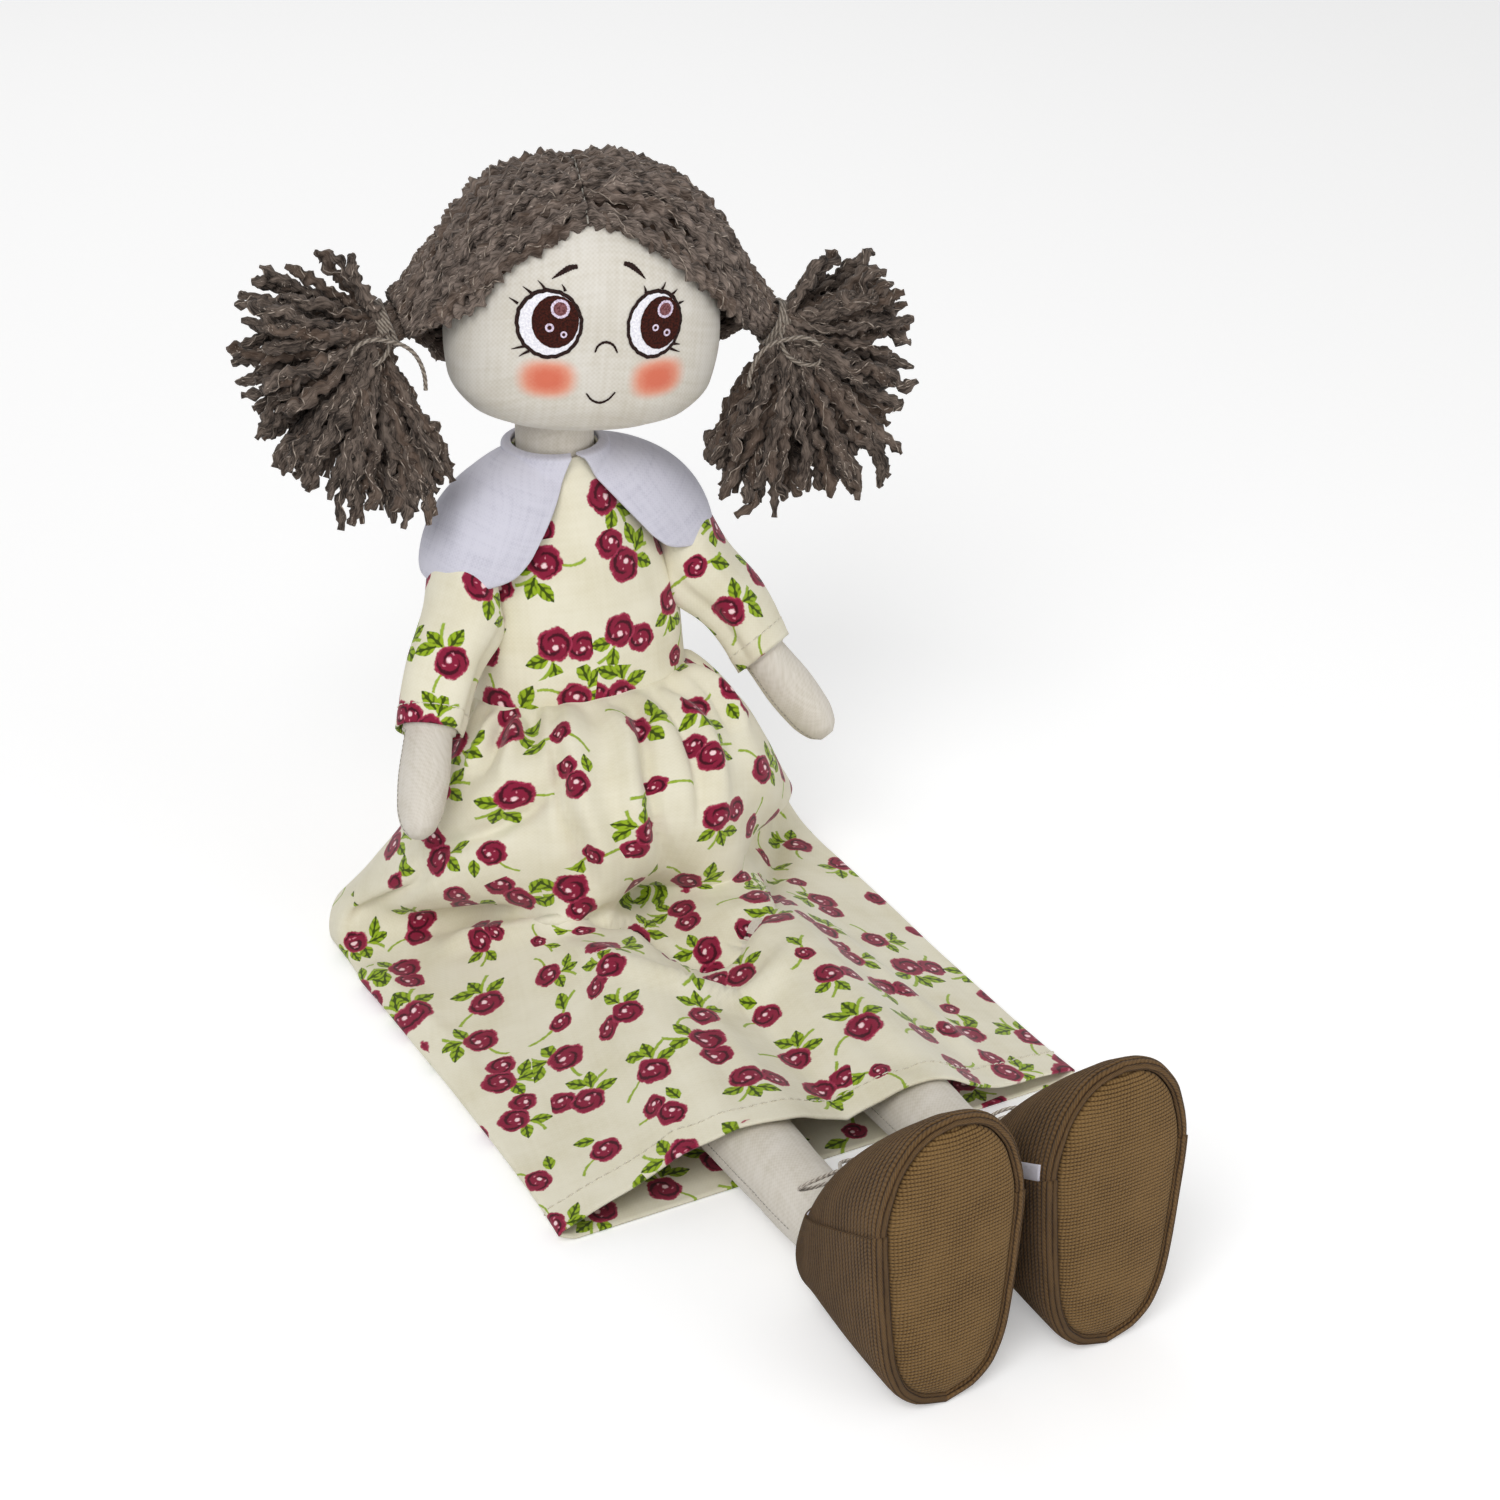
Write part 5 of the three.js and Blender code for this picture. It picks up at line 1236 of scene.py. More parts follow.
for side, place in SIDES:
    make_arm(side, place)
    make_sleeve(side, place)

# Legs. A leg's rows: share, way to the ankle, lift, width and thickness. A foot's: share, way from the
# insole, height, tilt, width and thickness.

leg_shares = [
    (0, 0, -0.38, 1.12, 0.14), (0.06, 0.035, -0.26, 1.14, 0.42), (0.12, 0.085, -0.06, 1.1, 0.8),
    (0.2, 0.16, 0, 1.03, 1), (0.34, 0.33, 0, 1, 1), (0.48, 0.52, 0, 0.94, 0.94), (0.6, 0.7, 0, 0.87, 0.87),
    (0.7, 0.86, 0, 0.8, 0.8),
]
foot_shares = [
    (0, 0.29, 0.175, 0.06, 0.53, 0.53), (0.15, 0.21, 0.2, 0.4, 0.64, 0.6),
    (0.3, 0.155, 0.275, 0.78, 0.7, 0.58), (0.45, 0.142, 0.42, 1, 0.78, 0.5),
    (0.62, 0.12, 0.6, 1, 0.83, 0.4), (0.8, 0.092, 0.78, 1, 0.78, 0.28),
    (0.93, 0.056, 0.88, 1, 0.56, 0.13), (1, 0.05, 0.92, 1, 0.3, 0.07),
]
leg_top_y = hip_y - flap_length - 0.3


def make_leg(side, place):
    """A stuffed leg that turns up into its foot inside the shoe."""
    ankle_y = insole_y + foot_shares[0][1] * sole_length
    way, lift, across, thick = read_shares(leg_shares, np.linspace(0, 0.7, 60)).T
    wrinkle = 0.25 * bump_at(way, 0.82, 0.02) + 0.2 * bump_at(way, 0.72, 0.015)
    centre = stack(0 * way + side * leg_x, mix(leg_top_y, ankle_y, way), leg_z * (1 + lift))
    sideways = np.tile([1.0, 0, 0], (60, 1))
    rings = [section_rings(centre, sideways, np.tile([0, 0, 1.0], (60, 1)),
                           leg_radius * across - wrinkle, leg_radius * thick - wrinkle, 64)]
    out, up, tilt, wide, high = read_shares(foot_shares, np.linspace(0, 1, 30)).T
    centre = stack(0 * out + side * leg_x, insole_y + out * sole_length, up * sole_length)
    lean = tilt * math.pi / 2
    along = stack(0 * lean, np.sin(lean), np.cos(lean))
    rings.append(section_rings(centre, sideways[:30], along, sole_half_width * wide,
                               sole_half_width * high, 64))
    points = np.concatenate(rings)
    made = grid_object(f"stuffed_leg_{place}", points, skin, wrap=True, caps=(True, True))
    finish_piece(made, f"leg_{place}", [f"leg_{place}"], "cotton_skin")
    seams = []
    for column in (0, 32):
        line = points[2:58, column]
        lift = np.sign(line[0, 0] - side * leg_x) * np.array([0.2, 0, 0])
        seams += stitch_row(line, np.tile(lift, (len(line), 1)), **seam_stitch)
    finish_piece(tubes_object(f"leg_seam_{place}", seams, seam_thread), f"leg_{place}", slot="cotton_skin")


for side, place in SIDES:
    make_leg(side, place)

# Shoes

sole_shares = [
    (0, 0), (0.03, 0.4), (0.1, 0.68), (0.22, 0.84), (0.45, 0.94), (0.68, 1), (0.84, 0.86), (0.94, 0.6),
    (0.985, 0.32), (1, 0),
]
seam_top_share = 0.36
seam_sole_share = 0.66
rim_width = 2.5
groove_depth = 1.3
side_power = 3
toe_slope_power = 1.25
shoe_cloth = 0.9
lining_first_row = 5
# On each side, how far the felt comes past the seam and how high above the insole it starts
felt_edges = {-1: (-0.2, 9), 1: (3.8, 1.5)}


def sole_edge(turn, inset):
    """The sole's outline, drawn in by an inset: across the shoe and up from its heel."""
    share = 0.5 - 0.5 * np.cos(turn)
    wide = sole_half_width * np.sign(np.sin(turn)) * read_shares(sole_shares, share)[..., 0]
    middle = sole_length / 2
    up = middle + (share * sole_length - middle) * (1 - inset / middle)
    return wide * (1 - inset / sole_half_width), up


def even_turns(count):
    """Turns round the sole that lie at even distances along its edge."""
    turn = np.linspace(0, TURN, 1441)
    x, z = sole_edge(turn, 0)
    length = np.concatenate([[0], np.cumsum(np.hypot(np.diff(x), np.diff(z)))])
    return np.interp(np.linspace(0, length[-1], count, endpoint=False), length, turn)


shoe_turns = even_turns(128)


def sole_rows(side, insets, depths):
    rows = []
    for inset, depth in zip(insets, depths):
        x, z = sole_edge(shoe_turns, inset)
        rows.append(stack(side * leg_x + x, sole_y + depth, z))
    return np.array(rows)


def make_sole(side, place):
    """The flat sole panel, which bulges a little and ends in the groove beside the rim."""
    insets = [sole_half_width * 0.999, 16, 13, 10, 7, 5]
    insets += [rim_width + more for more in (1.1, 0.5, 0.2, 0.1)]
    depths = [-1.5, -1.45, -1.3, -1.1, -0.8, -0.4, 0.1, 0.5, 1.0, 1.7]
    points = sole_rows(side, insets, depths)
    uv = closed_grid(points[..., [0, 2]])
    made = grid_object(f"sole_panel_{place}", points, sole_knit, wrap=True, uv=uv, caps=(True, False))
    thicken(made, 0.8)
    finish_piece(made, f"leg_{place}", [f"sole_{place}"], "shoe_sole")


def upper_grid(side):
    """The upper from the groove beside the sole, over the rim and back to the opening."""
    rim = sole_rows(side, [rim_width, rim_width - 0.3, rim_width - 0.8, 1.1, 0.6, 0.15],
                    [groove_depth, 0.55, 0.2, 0.15, 0.45, 1.2])
    rows = []
    toeward = np.clip(-np.cos(shoe_turns), 0, 1)
    opening_x = opening_half_width * np.sin(shoe_turns)
    opening_z = opening_half_length - opening_half_length * np.cos(shoe_turns)
    x, z = sole_edge(shoe_turns, 0.0)
    for rise in np.linspace(0.0, 1.0, 40):
        draw = rise ** mix(side_power, toe_slope_power, toeward)
        rows.append(stack(side * leg_x + mix(x, opening_x, draw), insole_y + rise * shoe_depth,
                          mix(z, opening_z, draw)))
    return np.concatenate([rim, np.array(rows)])


def cut(made, point, normal, keep_front):
    """Cuts a piece with a plane and keeps one side of it."""
    with_bmesh(made, lambda work: bmesh.ops.bisect_plane(
        work, geom=work.verts[:] + work.edges[:] + work.faces[:], plane_co=point, plane_no=normal,
        clear_inner=keep_front, clear_outer=not keep_front))


def make_upper(side, place):
    """Vamp, quarter and lining of a shoe, each cut from the same form along the slanting side seam."""
    slope = (seam_sole_share - seam_top_share) * sole_length / shoe_depth
    on_seam = Vector((0, insole_y, seam_sole_share * sole_length)) * MM
    normal = Vector((0, slope, 1)).normalized()
    felt_shown, felt_start = felt_edges[side]
    felt_low = Vector((0, insole_y + felt_start, 0)) * MM
    shapes = (
        ("vamp", 0.0, upper_knit, "shoe_upper", [(on_seam - normal * 2 * MM, normal, True)]),
        ("quarter", 0.7, upper_knit, "shoe_upper", [(on_seam, normal, False)]),
        ("lining", 0.35, felt, "felt_lining", [
            (on_seam + normal * felt_shown * MM, normal, False), (on_seam - normal * 3 * MM, normal, True),
            (felt_low, Vector((0, 1, 0)), True)]),
    )
    for name, proud, material, slot, cuts in shapes:
        points = upper_grid(side)
        grow = proud * mix(0.45, 1, step(3, 8, np.arange(len(points))))[:, None, None]
        points = points + grid_normals(points, points.mean(axis=(0, 1))) * grow
        points[..., 2] = np.maximum(points[..., 2], 0.02)
        uv = cloth_uv(points, True)
        first = lining_first_row if name == "lining" else 0
        made = grid_object(f"shoe_{name}_{place}", points[first:], material, wrap=True, uv=uv[first:])
        for point, way, keep_front in cuts:
            cut(made, point, way, keep_front)
        thicken(made, shoe_cloth)
        finish_piece(made, f"leg_{place}", [f"{name}_{place}"], slot)


for side, place in SIDES:
    make_sole(side, place)
    make_upper(side, place)

# Head

head_shares = [
    (0, 0.6, 0.52), (0.05, 0.8, 0.71), (0.17, 0.96, 0.89), (0.34, 1, 0.97), (0.55, 0.965, 1),
    (0.72, 0.87, 0.95), (0.86, 0.69, 0.78), (0.95, 0.43, 0.5), (1, 0.12, 0.16),
]
chin_rings = ((0.0, 0.05), (0.25, 0.45), (0.6, 0.8), (0.85, 0.94))
chin_roundness = 0.9
off_the_face = 900.0


def head_at(z):
    """Half-width and half-depth of the head at heights."""
    width, depth = np.moveaxis(read_shares(head_shares, (z - chin_z) / (crown_z - chin_z)), -1, 0)
    return head_half_width * width, head_half_depth * depth


def face_point(x, z, lift):
    """A place on the front of the face, in the head's own frame."""
    width, depth = head_at(z)
    share = np.clip(np.abs(x) / width, 0, 0.999)
    y = face_y - depth * (1 - share**head_power) ** (1 / head_power) - lift
    return stack(x, y, z)


def make_head():
    rows, columns = 90, 128
    z = mix(chin_z, crown_z, 0.5 - 0.5 * np.cos(np.linspace(0, math.pi, rows)))
    width, depth = head_at(z)
    rise, shrink = np.array(chin_rings).T
    z = np.concatenate([chin_z - chin_roundness * (1 - rise), z])
    width = np.concatenate([width[0] * shrink, width])
    depth = np.concatenate([depth[0] * shrink, depth])
    local = ring_grid(z, 0 * z + face_y, width, depth, columns, head_power)
    uv = cloth_uv(local, True, start=columns * 3 // 4)
    made = grid_object("face_and_head", turn_head(local), face_cotton, wrap=True, uv=uv, caps=(True, True))
    layer = made.data.uv_layers.new(name="face")
    flat = local.reshape(-1, 3)
    place = np.where((flat[:, 1] < face_y)[:, None], flat[:, [0, 2]], off_the_face)
    index = np.zeros(len(made.data.loops), int)
    made.data.loops.foreach_get("vertex_index", index)
    layer.data.foreach_set("uv", (place[index] / UV_MM).astype(np.float32).ravel())
    made.data.uv_layers["cloth"].active_render = True
    finish_piece(made, "head", ["head", "print_blush_right", "print_blush_left"], "cotton_skin")


make_head()

# Printed face. Places are (x, z) on the front of the face, and in an eye they count from its middle.

eye_z = 183
eye_half_height = 9.0
lash_widths = (0.42, 0.26, 0.08)
eyes = {
    "right": {
        "x": -14.4, "half": 8.1, "iris": (1.4, 0.7, 5.8, 6.9),
        "glints": ((2.4, 4.3, 2.35), (0.0, -0.8, 1.1), (3.6, -2.4, 0.85)),
        "lashes": ((-7.7, 4.5, -9.8, 5.6), (-4.7, 7.6, -6.7, 8.9), (-1.4, 8.9, -3.2, 10.9),
                   (3.5, 8.8, 2.6, 10.5), (-5.6, -6.4, -8.8, -7.7), (-4.6, -7.6, -6.9, -9.4)),
    },
    "left": {
        "x": 12.9, "half": 7.4, "iris": (1.5, 0.3, 5.5, 7.0),
        "glints": ((2.6, 3.9, 2.2), (0.2, -0.8, 0.9), (3.5, -2.4, 0.95)),
        "lashes": ((-3.0, 8.4, -3.6, 10.3), (1.4, 9.0, 2.4, 10.7), (4.3, 7.4, 5.9, 8.6),
                   (6.4, 4.9, 8.0, 5.3), (5.0, -7.0, 7.8, -8.3), (5.8, -5.8, 7.7, -6.2)),
    },
}
brows = {
    "right": [(-7.9, 198.0), (-9.8, 197.6), (-11.9, 196.3), (-14.2, 194.6)],
    "left": [(3.9, 198.9), (5.6, 198.4), (7.6, 197.0), (9.7, 194.9)],
}
nose = [(-2.5, 175.9), (-1.8, 177.7), (-0.1, 178.7), (2.0, 178.0), (3.4, 175.8)]
smile = [(-3.7, 164.3), (-2.0, 162.3), (0.2, 161.5), (2.2, 162.4), (3.9, 164.6)]


def disc(name, centre, halves, lift, material, hole=0.0, rough=0.0, slot="print_dark", nodes=()):
    """A printed oval or ring that lies on the face, with an edge that is a little uneven."""
    angle = turns_round(96)
    uneven = 1 + rough * (0.5 * np.sin(17 * angle + centre[0]) + 0.35 * np.sin(29 * angle + 2.2)
                          + 0.3 * np.sin(7 * angle + 0.7))
    rows = []
    for share in np.linspace(max(hole, 0.02), 1, 10):
        reach = share * (uneven if share > 0.5 else 1)
        rows.append(stack(centre[0] + halves[0] * reach * np.cos(angle),
                          centre[1] + halves[1] * reach * np.sin(angle)))
    flat = np.array(rows)
    local = face_point(flat[..., 0], flat[..., 1], lift)
    made = grid_object(name, turn_head(local), material, wrap=True, uv=closed_grid(flat),
                       caps=(hole == 0, False))
    finish_piece(made, "head", nodes, slot)


def stroke(name, spots, widths, lift, nodes=()):
    """A printed line on the face, with widths at even steps along it."""
    spots = np.array(spots, float)
    path = smooth_path(np.column_stack([spots[:, 0], 0 * spots[:, 0], spots[:, 1]]), 40)[:, [0, 2]]
    along = unit(np.gradient(path, axis=0))
    normal = np.stack([-along[:, 1], along[:, 0]], axis=1)
    t = np.linspace(0, 1, len(path))
    wide = np.interp(t, np.linspace(0, 1, len(widths)), widths) * (1 + 0.12 * np.sin(60 * t + path[0, 0]))
    shares = np.linspace(-1, 1, 5)
    flat = path[:, None] + normal[:, None] * (wide[:, None] * shares[None, :])[..., None]
    made = grid_object(name, turn_head(face_point(flat[..., 0], flat[..., 1], lift)), ink, uv=flat)
    finish_piece(made, "head", nodes, "print_dark")


def make_eye(place, eye):
    cx, wide, tall = eye["x"], eye["half"], eye_half_height
    disc(f"eye_white_{place}", (cx, eye_z), (wide - 0.5, tall - 0.5), 0.12, white_print,
         slot="print_white", nodes=[f"print_eye_{place}"])
    disc(f"eye_line_{place}", (cx, eye_z), (wide + 0.25, tall + 0.25), 0.2, ink, hole=0.885, rough=0.02)
    ix, iz, half_width, half_height = eye["iris"]
    disc(f"iris_{place}", (cx + ix, eye_z + iz), (half_width, half_height), 0.24, iris_print, rough=0.012,
         nodes=[f"print_iris_{place}"])
    for k, (gx, gz, size) in enumerate(eye["glints"]):
        at = (cx + gx, eye_z + gz)
        disc(f"glint_{place}_{k}", at, (size, size * 1.05), 0.3, iris_print if k else mauve_print)
        disc(f"glint_ring_{place}_{k}", at, (size, size * 1.05), 0.34, glint_print, hole=0.5 if k else 0.72,
             rough=0.04, slot="print_white")
    for k, (x0, z0, x1, z1) in enumerate(eye["lashes"]):
        middle = ((x0 + x1) / 2 + 0.25 * (z1 - z0) * 0.3, (z0 + z1) / 2)
        spots = [(cx + x, eye_z + z) for x, z in ((x0, z0), middle, (x1, z1))]
        stroke(f"lash_{place}_{k}", spots, lash_widths, 0.2)


for place, eye in eyes.items():
    make_eye(place, eye)
for place, spots in brows.items():
    stroke(f"brow_{place}", spots, (0.5, 0.72, 0.5, 0.1), 0.16, nodes=[f"print_brow_{place}"])
stroke("nose", nose, (0.22, 0.38, 0.22), 0.16, nodes=["print_nose"])
stroke("smile", smile, (0.22, 0.36, 0.22), 0.16, nodes=["print_smile"])

# Hair

parting_front = math.radians(52)
parting_back = math.radians(212)
tie_spread = math.radians(125)
parting_side = 0.15
parting_depth = 2.6
parting_reach = 0.13
hair_sag = 0.3
slub_waves = ((0.18, 0.38), (0.15, 0.95), (0.12, 2.1), (0.06, 4.6))
# Strands, thickness above the head's surface, shift and strand radius of each layer of the hair on the head
cap_layers = ((25, 2.8, 0.0, 1.85), (22, 4.2, 0.5, 1.75))
cap_edge_power = 14
shine_radius = 0.16
head_middle = np.array([0.0, face_y, head_z])
tie_up = np.array([math.sin(tie_tilt), 0, math.cos(tie_tilt)])
tie_centre = np.array([tie_x, face_y, tie_z])


def head_reach(direction):
    """Distance from the head's middle to its surface in directions."""
    low = np.zeros(direction.shape[:-1])
    high = low + head_half_width + head_half_depth
    for _ in range(26):
        middle = (low + high) / 2
        p = direction * middle[..., None]
        z = np.clip(head_z + p[..., 2], chin_z, crown_z)
        width, depth = head_at(z)
        inside = (np.abs(p[..., 0] / width) ** head_power + np.abs(p[..., 1] / depth) ** head_power < 1)
        inside &= (head_z + p[..., 2] > chin_z) & (head_z + p[..., 2] < crown_z)
        low = np.where(inside, middle, low)
        high = np.where(inside, high, middle)
    return low


def parting_at(turn):
    """Direction of the parting, which lies a little to the doll's right at the front."""
    return unit(stack(-parting_side * (1 - step(1, 3.2, turn)), -np.cos(turn), np.sin(turn)))


def hair_path(side, along, across, thickness, tie_share=1.0):
    """Points from the parting to the tie, above the head's surface, on the doll's left or mirrored from it.
    """
    start = parting_at(mix(parting_front, parting_back, across)) * [side, 1.0, 1.0]
    spread = mix(-tie_spread, tie_spread, across)[..., None]
    end = tie_centre - head_middle + tie_radius * tie_share * (
        tie_up * np.cos(spread) + np.array([0, 1.0, 0]) * np.sin(spread))
    tie_reach = np.linalg.norm(end, axis=-1)
    end = unit(end)
    angle = np.arccos(np.clip(np.sum(start * end, axis=-1), -1, 1))
    direction = (start * (np.sin((1 - along) * angle) / np.sin(angle))[..., None]
                 + end * (np.sin(along * angle) / np.sin(angle))[..., None])
    direction[..., 2] -= hair_sag * (2 * across - 1) ** 4 * np.sin(math.pi * along)
    direction = unit(direction)
    reach = head_reach(direction) + thickness
    return head_middle + direction * mix(reach, tie_reach, along**6)[..., None]


def wander(rng, t, size, waves):
    """A smooth random wiggle along t."""
    total = 0
    for k in waves:
        total = total + rng.normal() * np.sin(k * t + rng.uniform(0, TURN)) / len(waves) ** 0.5
    return total * size


def slub(rng, length):
    """Thickness along slub yarn: long thick stretches with thin ones in between."""
    thick = 1
    for size, rate in slub_waves:
        thick = thick + size * np.sin(length * rate + rng.uniform(0, TURN))
    return thick


def place_on_side(points, side):
    return turn_head(points * [side, 1.0, 1.0])


def make_gap_shade(side, place):
    """A dark sheet under the strands: painted shade for the gaps between them, so that no skin shows there.
    """
    along = np.linspace(0.0, 0.98, 40)[:, None] + np.zeros((1, 60))
    across = np.linspace(0.026, 0.974, 60)[None, :] + np.zeros((40, 1))
    rim = np.sqrt(np.clip(1 - np.abs(2 * across - 1) ** cap_edge_power, 0, 1))
    points = hair_path(side, along, across, 2.1 * rim + 0.2 - 1.8 * np.exp(-along / parting_reach))
    made = grid_object(f"shade_under_hair_{place}", place_on_side(points, side), gap_shade)
    thicken(made, 0.8, offset=0.0)
    finish_piece(made, "head", [f"hair_cap_{place}"], "hair_yarn")


def shine_round(rng, points):
    """A thin glossy thread that winds loosely round a strand given by its rings."""
    rows, sides = points.shape[:2]
    centre = points.mean(axis=1)
    at = rng.uniform(0, sides) + np.cumsum(rng.uniform(0.2, 0.75, rows)) * rng.choice([-1, 1])
    first = np.floor(at).astype(int)
    row = np.arange(rows)
    ring = mix(points[row, first % sides], points[row, (first + 1) % sides], (at - first)[:, None])
    path = centre + (ring - centre) * rng.uniform(1.0, 1.12, (rows, 1))
    return tube_points(path, np.full(rows, shine_radius), 4)


def make_cap(side, place, rng):
    """Strands laid over the head, in two layers, from the parting to the tie."""
    tubes, shine = [], []
    along = np.linspace(0.012, 1.0, 100)
    fade = np.sin(math.pi * along) ** 0.5
    for count, thickness, shift, radius in cap_layers:
        for k in range(count):
            centre = (k + 0.5 + 0.5 * shift + rng.uniform(-0.25, 0.25)) / count
            if not 0.0 <= centre <= 1.0:
                continue
            across = np.clip(centre + wander(rng, along, 0.008, (5, 9, 14, 23)) * fade, 0.012, 0.988)
            rim = math.sqrt(max(0.0, 1 - abs(2 * centre - 1) ** cap_edge_power))
            lift = thickness * mix(0.45, 1, rim) + wander(rng, along, 0.35, (7, 13, 19, 31)) * fade
            lift = lift - parting_depth * np.exp(-along / parting_reach)
            path = hair_path(side, along, across, lift, tie_share=0.95 if shift else 0.8)
            thick = radius * rng.uniform(0.85, 1.12) * slub(rng, lengths_along(path))
            thick = thick * mix(1.0, 0.62, step(0.6, 1.0, along))
            points, length = tube_points(path, thick, 11, flat=0.34, twist=rng.uniform(0.09, 0.14),
                                         phase=rng.uniform(0, TURN))
            tubes.append((place_on_side(points, side), length))
            shine.append(shine_round(rng, place_on_side(points, side)))
    finish_piece(tubes_object(f"hair_cap_strands_{place}", tubes, yarn), "head", slot="hair_yarn")
    finish_piece(tubes_object(f"hair_cap_shine_{place}", shine, shine_thread), "head", slot="hair_yarn")


# Pigtails

tail_reach_shares = [(0, 41), (0.12, 50), (0.3, 50), (0.6, 45), (0.85, 41), (1, 37)]
tail_half_depth = 15.5
tail_lean = 13
tail_top = math.radians(34)
tail_low = math.radians(-124)
tail_strands = 165
strand_waves = (7, 13, 21, 29)
tie_turns = 4


def make_pigtail(side, place, rng):
    """A fan of cut strands: each leaves the tie along the bunch, opens out and hangs down."""
    tubes, shine = [], []
    t = np.linspace(0, 1, 56)
    for k in range(tail_strands):
        layer = rng.uniform(-1, 1)
        spread = rng.beta(0.8, 1.0)
        turn = mix(tail_low, tail_top, spread)
        reach = float(read_shares(tail_reach_shares, spread)[0]) * rng.uniform(0.8, 1.04)
        if rng.uniform() < 0.08:
            reach *= 0.8
        if k < 3:
            turn, layer, reach = math.radians(50 + 7 * k), 0.3 - 0.3 * k, 27 - 2 * k
        inner = 4.3 * math.sqrt(rng.uniform(0, 1))
        around = math.atan2(layer, 2 * spread - 1 + 0.2)
        start_up, start_y = inner * math.cos(around), inner * math.sin(around)
        open_turn = mix(-tie_tilt, turn, step(-0.06, 0.4, t))
        pace = reach / (len(t) - 1)
        x = np.cumsum(np.cos(open_turn)) * pace
        z = np.cumsum(np.sin(open_turn)) * pace
        over = reach / max(1e-6, math.hypot(x[-1], z[-1]))
        x = x * mix(1, over, t) + start_up * math.sin(tie_tilt) * (1 - t) ** 2
        z = z * mix(1, over, t) + start_up * math.cos(tie_tilt) * (1 - t) ** 2
        lean = tail_lean * t * t * np.clip(-np.sin(open_turn), 0, 1)
        depth = tail_half_depth * layer * math.sqrt(max(0.0, 1 - 0.45 * (2 * spread - 1) ** 2))
        y = mix(start_y, depth, step(0.0, 0.6, t)) - lean
        curl = step(0.1, 1.0, t) * rng.uniform(0.7, 1.9)
        x, y, z = [part + wander(rng, t, 0.85, strand_waves) * curl for part in (x, y, z)]
        path = stack(tie_x + x, face_y + y, tie_z + z)
        thick = rng.uniform(1.15, 1.6) * slub(rng, lengths_along(path)) * mix(0.72, 1.0, step(0.0, 0.3, t))
        thick = thick * mix(1.0, 0.5, step(0.94, 1.0, t))
        points, length = tube_points(path, thick, 9, flat=0.34, twist=rng.uniform(0.11, 0.17),
                                     phase=rng.uniform(0, TURN))
        tubes.append((place_on_side(points, side), length))
        shine.append(shine_round(rng, place_on_side(points, side)))
    # Strands in the darker copy of the yarn: painted shade.
    made = tubes_object(f"pigtail_strands_{place}", tubes, shaded_tail_yarn)
    finish_piece(made, f"pigtail_{place}", [f"pigtail_{place}"], "hair_yarn")
    made = tubes_object(f"pigtail_shine_{place}", shine, shine_thread)
    finish_piece(made, f"pigtail_{place}", slot="hair_yarn")


def make_tie(side, place):
    """Thread wound round the bunch, side by side."""
    t = np.linspace(0, 1, 200)
    angle = TURN * tie_turns * t
    radius = 6.0 + 0.15 * np.sin(5 * angle)
    local = stack(3.1 + 3.6 * t, radius * np.cos(angle), radius * np.sin(angle))
    path = turn_head(tie_to_head(local, side))
    winding = tube_points(path, np.full(len(t), 0.62), 8, flat=0.12, twist=0.4)
    made = tubes_object(f"hair_tie_thread_{place}", [winding], tie_thread)
    finish_piece(made, f"pigtail_{place}", [f"hair_tie_{place}"], "tie_thread")


def make_parting_stitch():
    turn = np.linspace(parting_front - 0.02, parting_back, 70)
    direction = parting_at(turn)
    path = head_middle + direction * (head_reach(direction) + 2.7)[:, None]
    lift = turn_head(path + direction * 0.5) - turn_head(path)
    tubes = stitch_row(turn_head(path), lift, stitch=2.2, gap=0.8, radius=0.22)
    made = tubes_object("parting_thread", tubes, seam_thread)
    finish_piece(made, "head", ["parting_stitch"], "tie_thread")


random = np.random.default_rng(7)
for side, place in SIDES:
    make_gap_shade(side, place)
    make_cap(side, place, random)
    make_pigtail(side, place, random)
    make_tie(side, place)
make_parting_stitch()


def make_button():
    """The nape button keeps the solid's shape."""
    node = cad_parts["nape_button"]
    node.data.materials.clear()
    node.data.materials.append(button_gloss)
    if node.data.uv_layers:
        node.data.uv_layers[0].name = "cloth"
    else:
        node.data.uv_layers.new(name="cloth")


make_button()

hem_row = -9


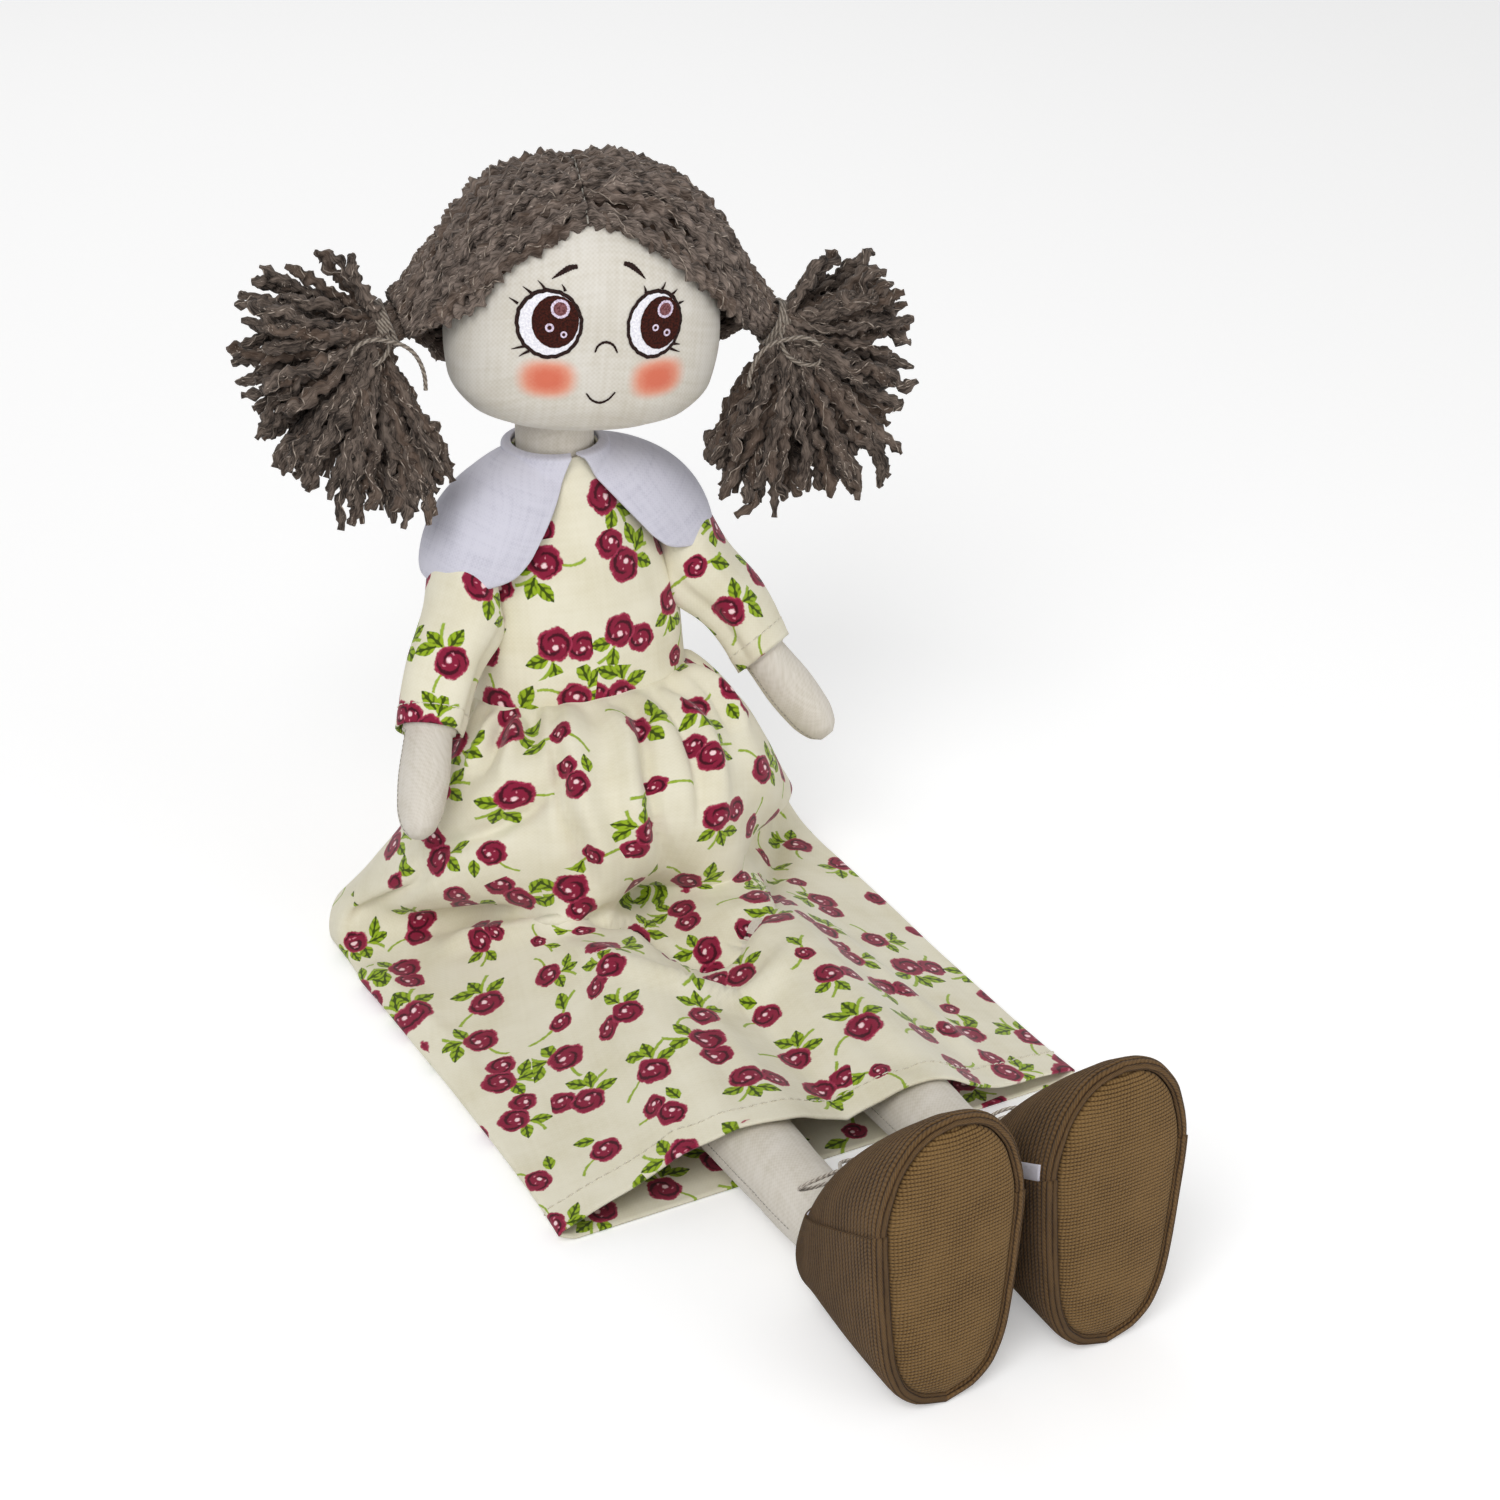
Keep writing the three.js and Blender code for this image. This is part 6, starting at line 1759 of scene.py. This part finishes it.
def make_hem():
    """Stitches above the edge of the skirt."""
    tubes = stitch_row(closed_ring(skirt_surface[hem_row]), closed_ring(skirt_normal[hem_row] * 0.3))
    made = tubes_object("hem_stitch", tubes, cream_thread)
    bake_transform(made)


make_hem()

# Floor, lamps and world

floor_white = 0.88
floor_glow = 0.28
sky_light = 0.47
sky_seen = 0.69
lamp_target = Vector((0, -0.08, 0.08))
lamps = (
    ("key", (-0.75, -0.9, 1.15), 0.75, 11.9),
    ("fill", (0.55, -1.2, 0.3), 0.8, 4.2),
    ("back", (0.2, 1.1, 1.1), 0.8, 2.6),
)


def seen_directly(shader):
    """1 on rays from the camera, by mirror surfaces or through clear ones, and 0 on the others."""
    rays = shader.node("ShaderNodeLightPath").outputs
    kinds = ("Is Camera Ray", "Is Glossy Ray", "Is Transmission Ray")
    camera, glossy, clear = [Wire(shader, rays[kind]) for kind in kinds]
    return camera.most(glossy).most(clear)


def make_floor():
    bpy.ops.mesh.primitive_plane_add(size=6, location=(0, 0, 0))
    floor = bpy.context.object
    floor.name = "floor"
    shader = Shader("floor_white", roughness=0.9, specular=0.1)
    shader.surface.inputs["Base Color"].default_value = (floor_white, floor_white, floor_white, 1)
    shader.surface.inputs["Emission Color"].default_value = (1, 1, 1, 1)
    shader.put(seen_directly(shader) * floor_glow, shader.surface.inputs["Emission Strength"])
    floor.data.materials.append(shader.material)


def make_world():
    world = bpy.data.worlds.new("studio")
    bpy.context.scene.world = world
    world.use_nodes = True
    background = world.node_tree.nodes["Background"]
    background.inputs["Color"].default_value = (1, 1, 1, 1)
    sky = Nodes(world.node_tree)
    strength = seen_directly(sky).math("MULTIPLY_ADD", sky_seen - sky_light, sky_light)
    sky.put(strength, background.inputs["Strength"])


def make_lamps():
    for name, place, size, power in lamps:
        light = bpy.data.lights.new(name, "AREA")
        light.size = size
        light.energy = power
        lamp = bpy.data.objects.new(name, light)
        lamp.location = place
        lamp.rotation_euler = (lamp_target - Vector(place)).to_track_quat("-Z", "Y").to_euler()
        bpy.context.scene.collection.objects.link(lamp)


make_floor()
make_world()
make_lamps()
bpy.context.scene.view_settings.view_transform = "Standard"
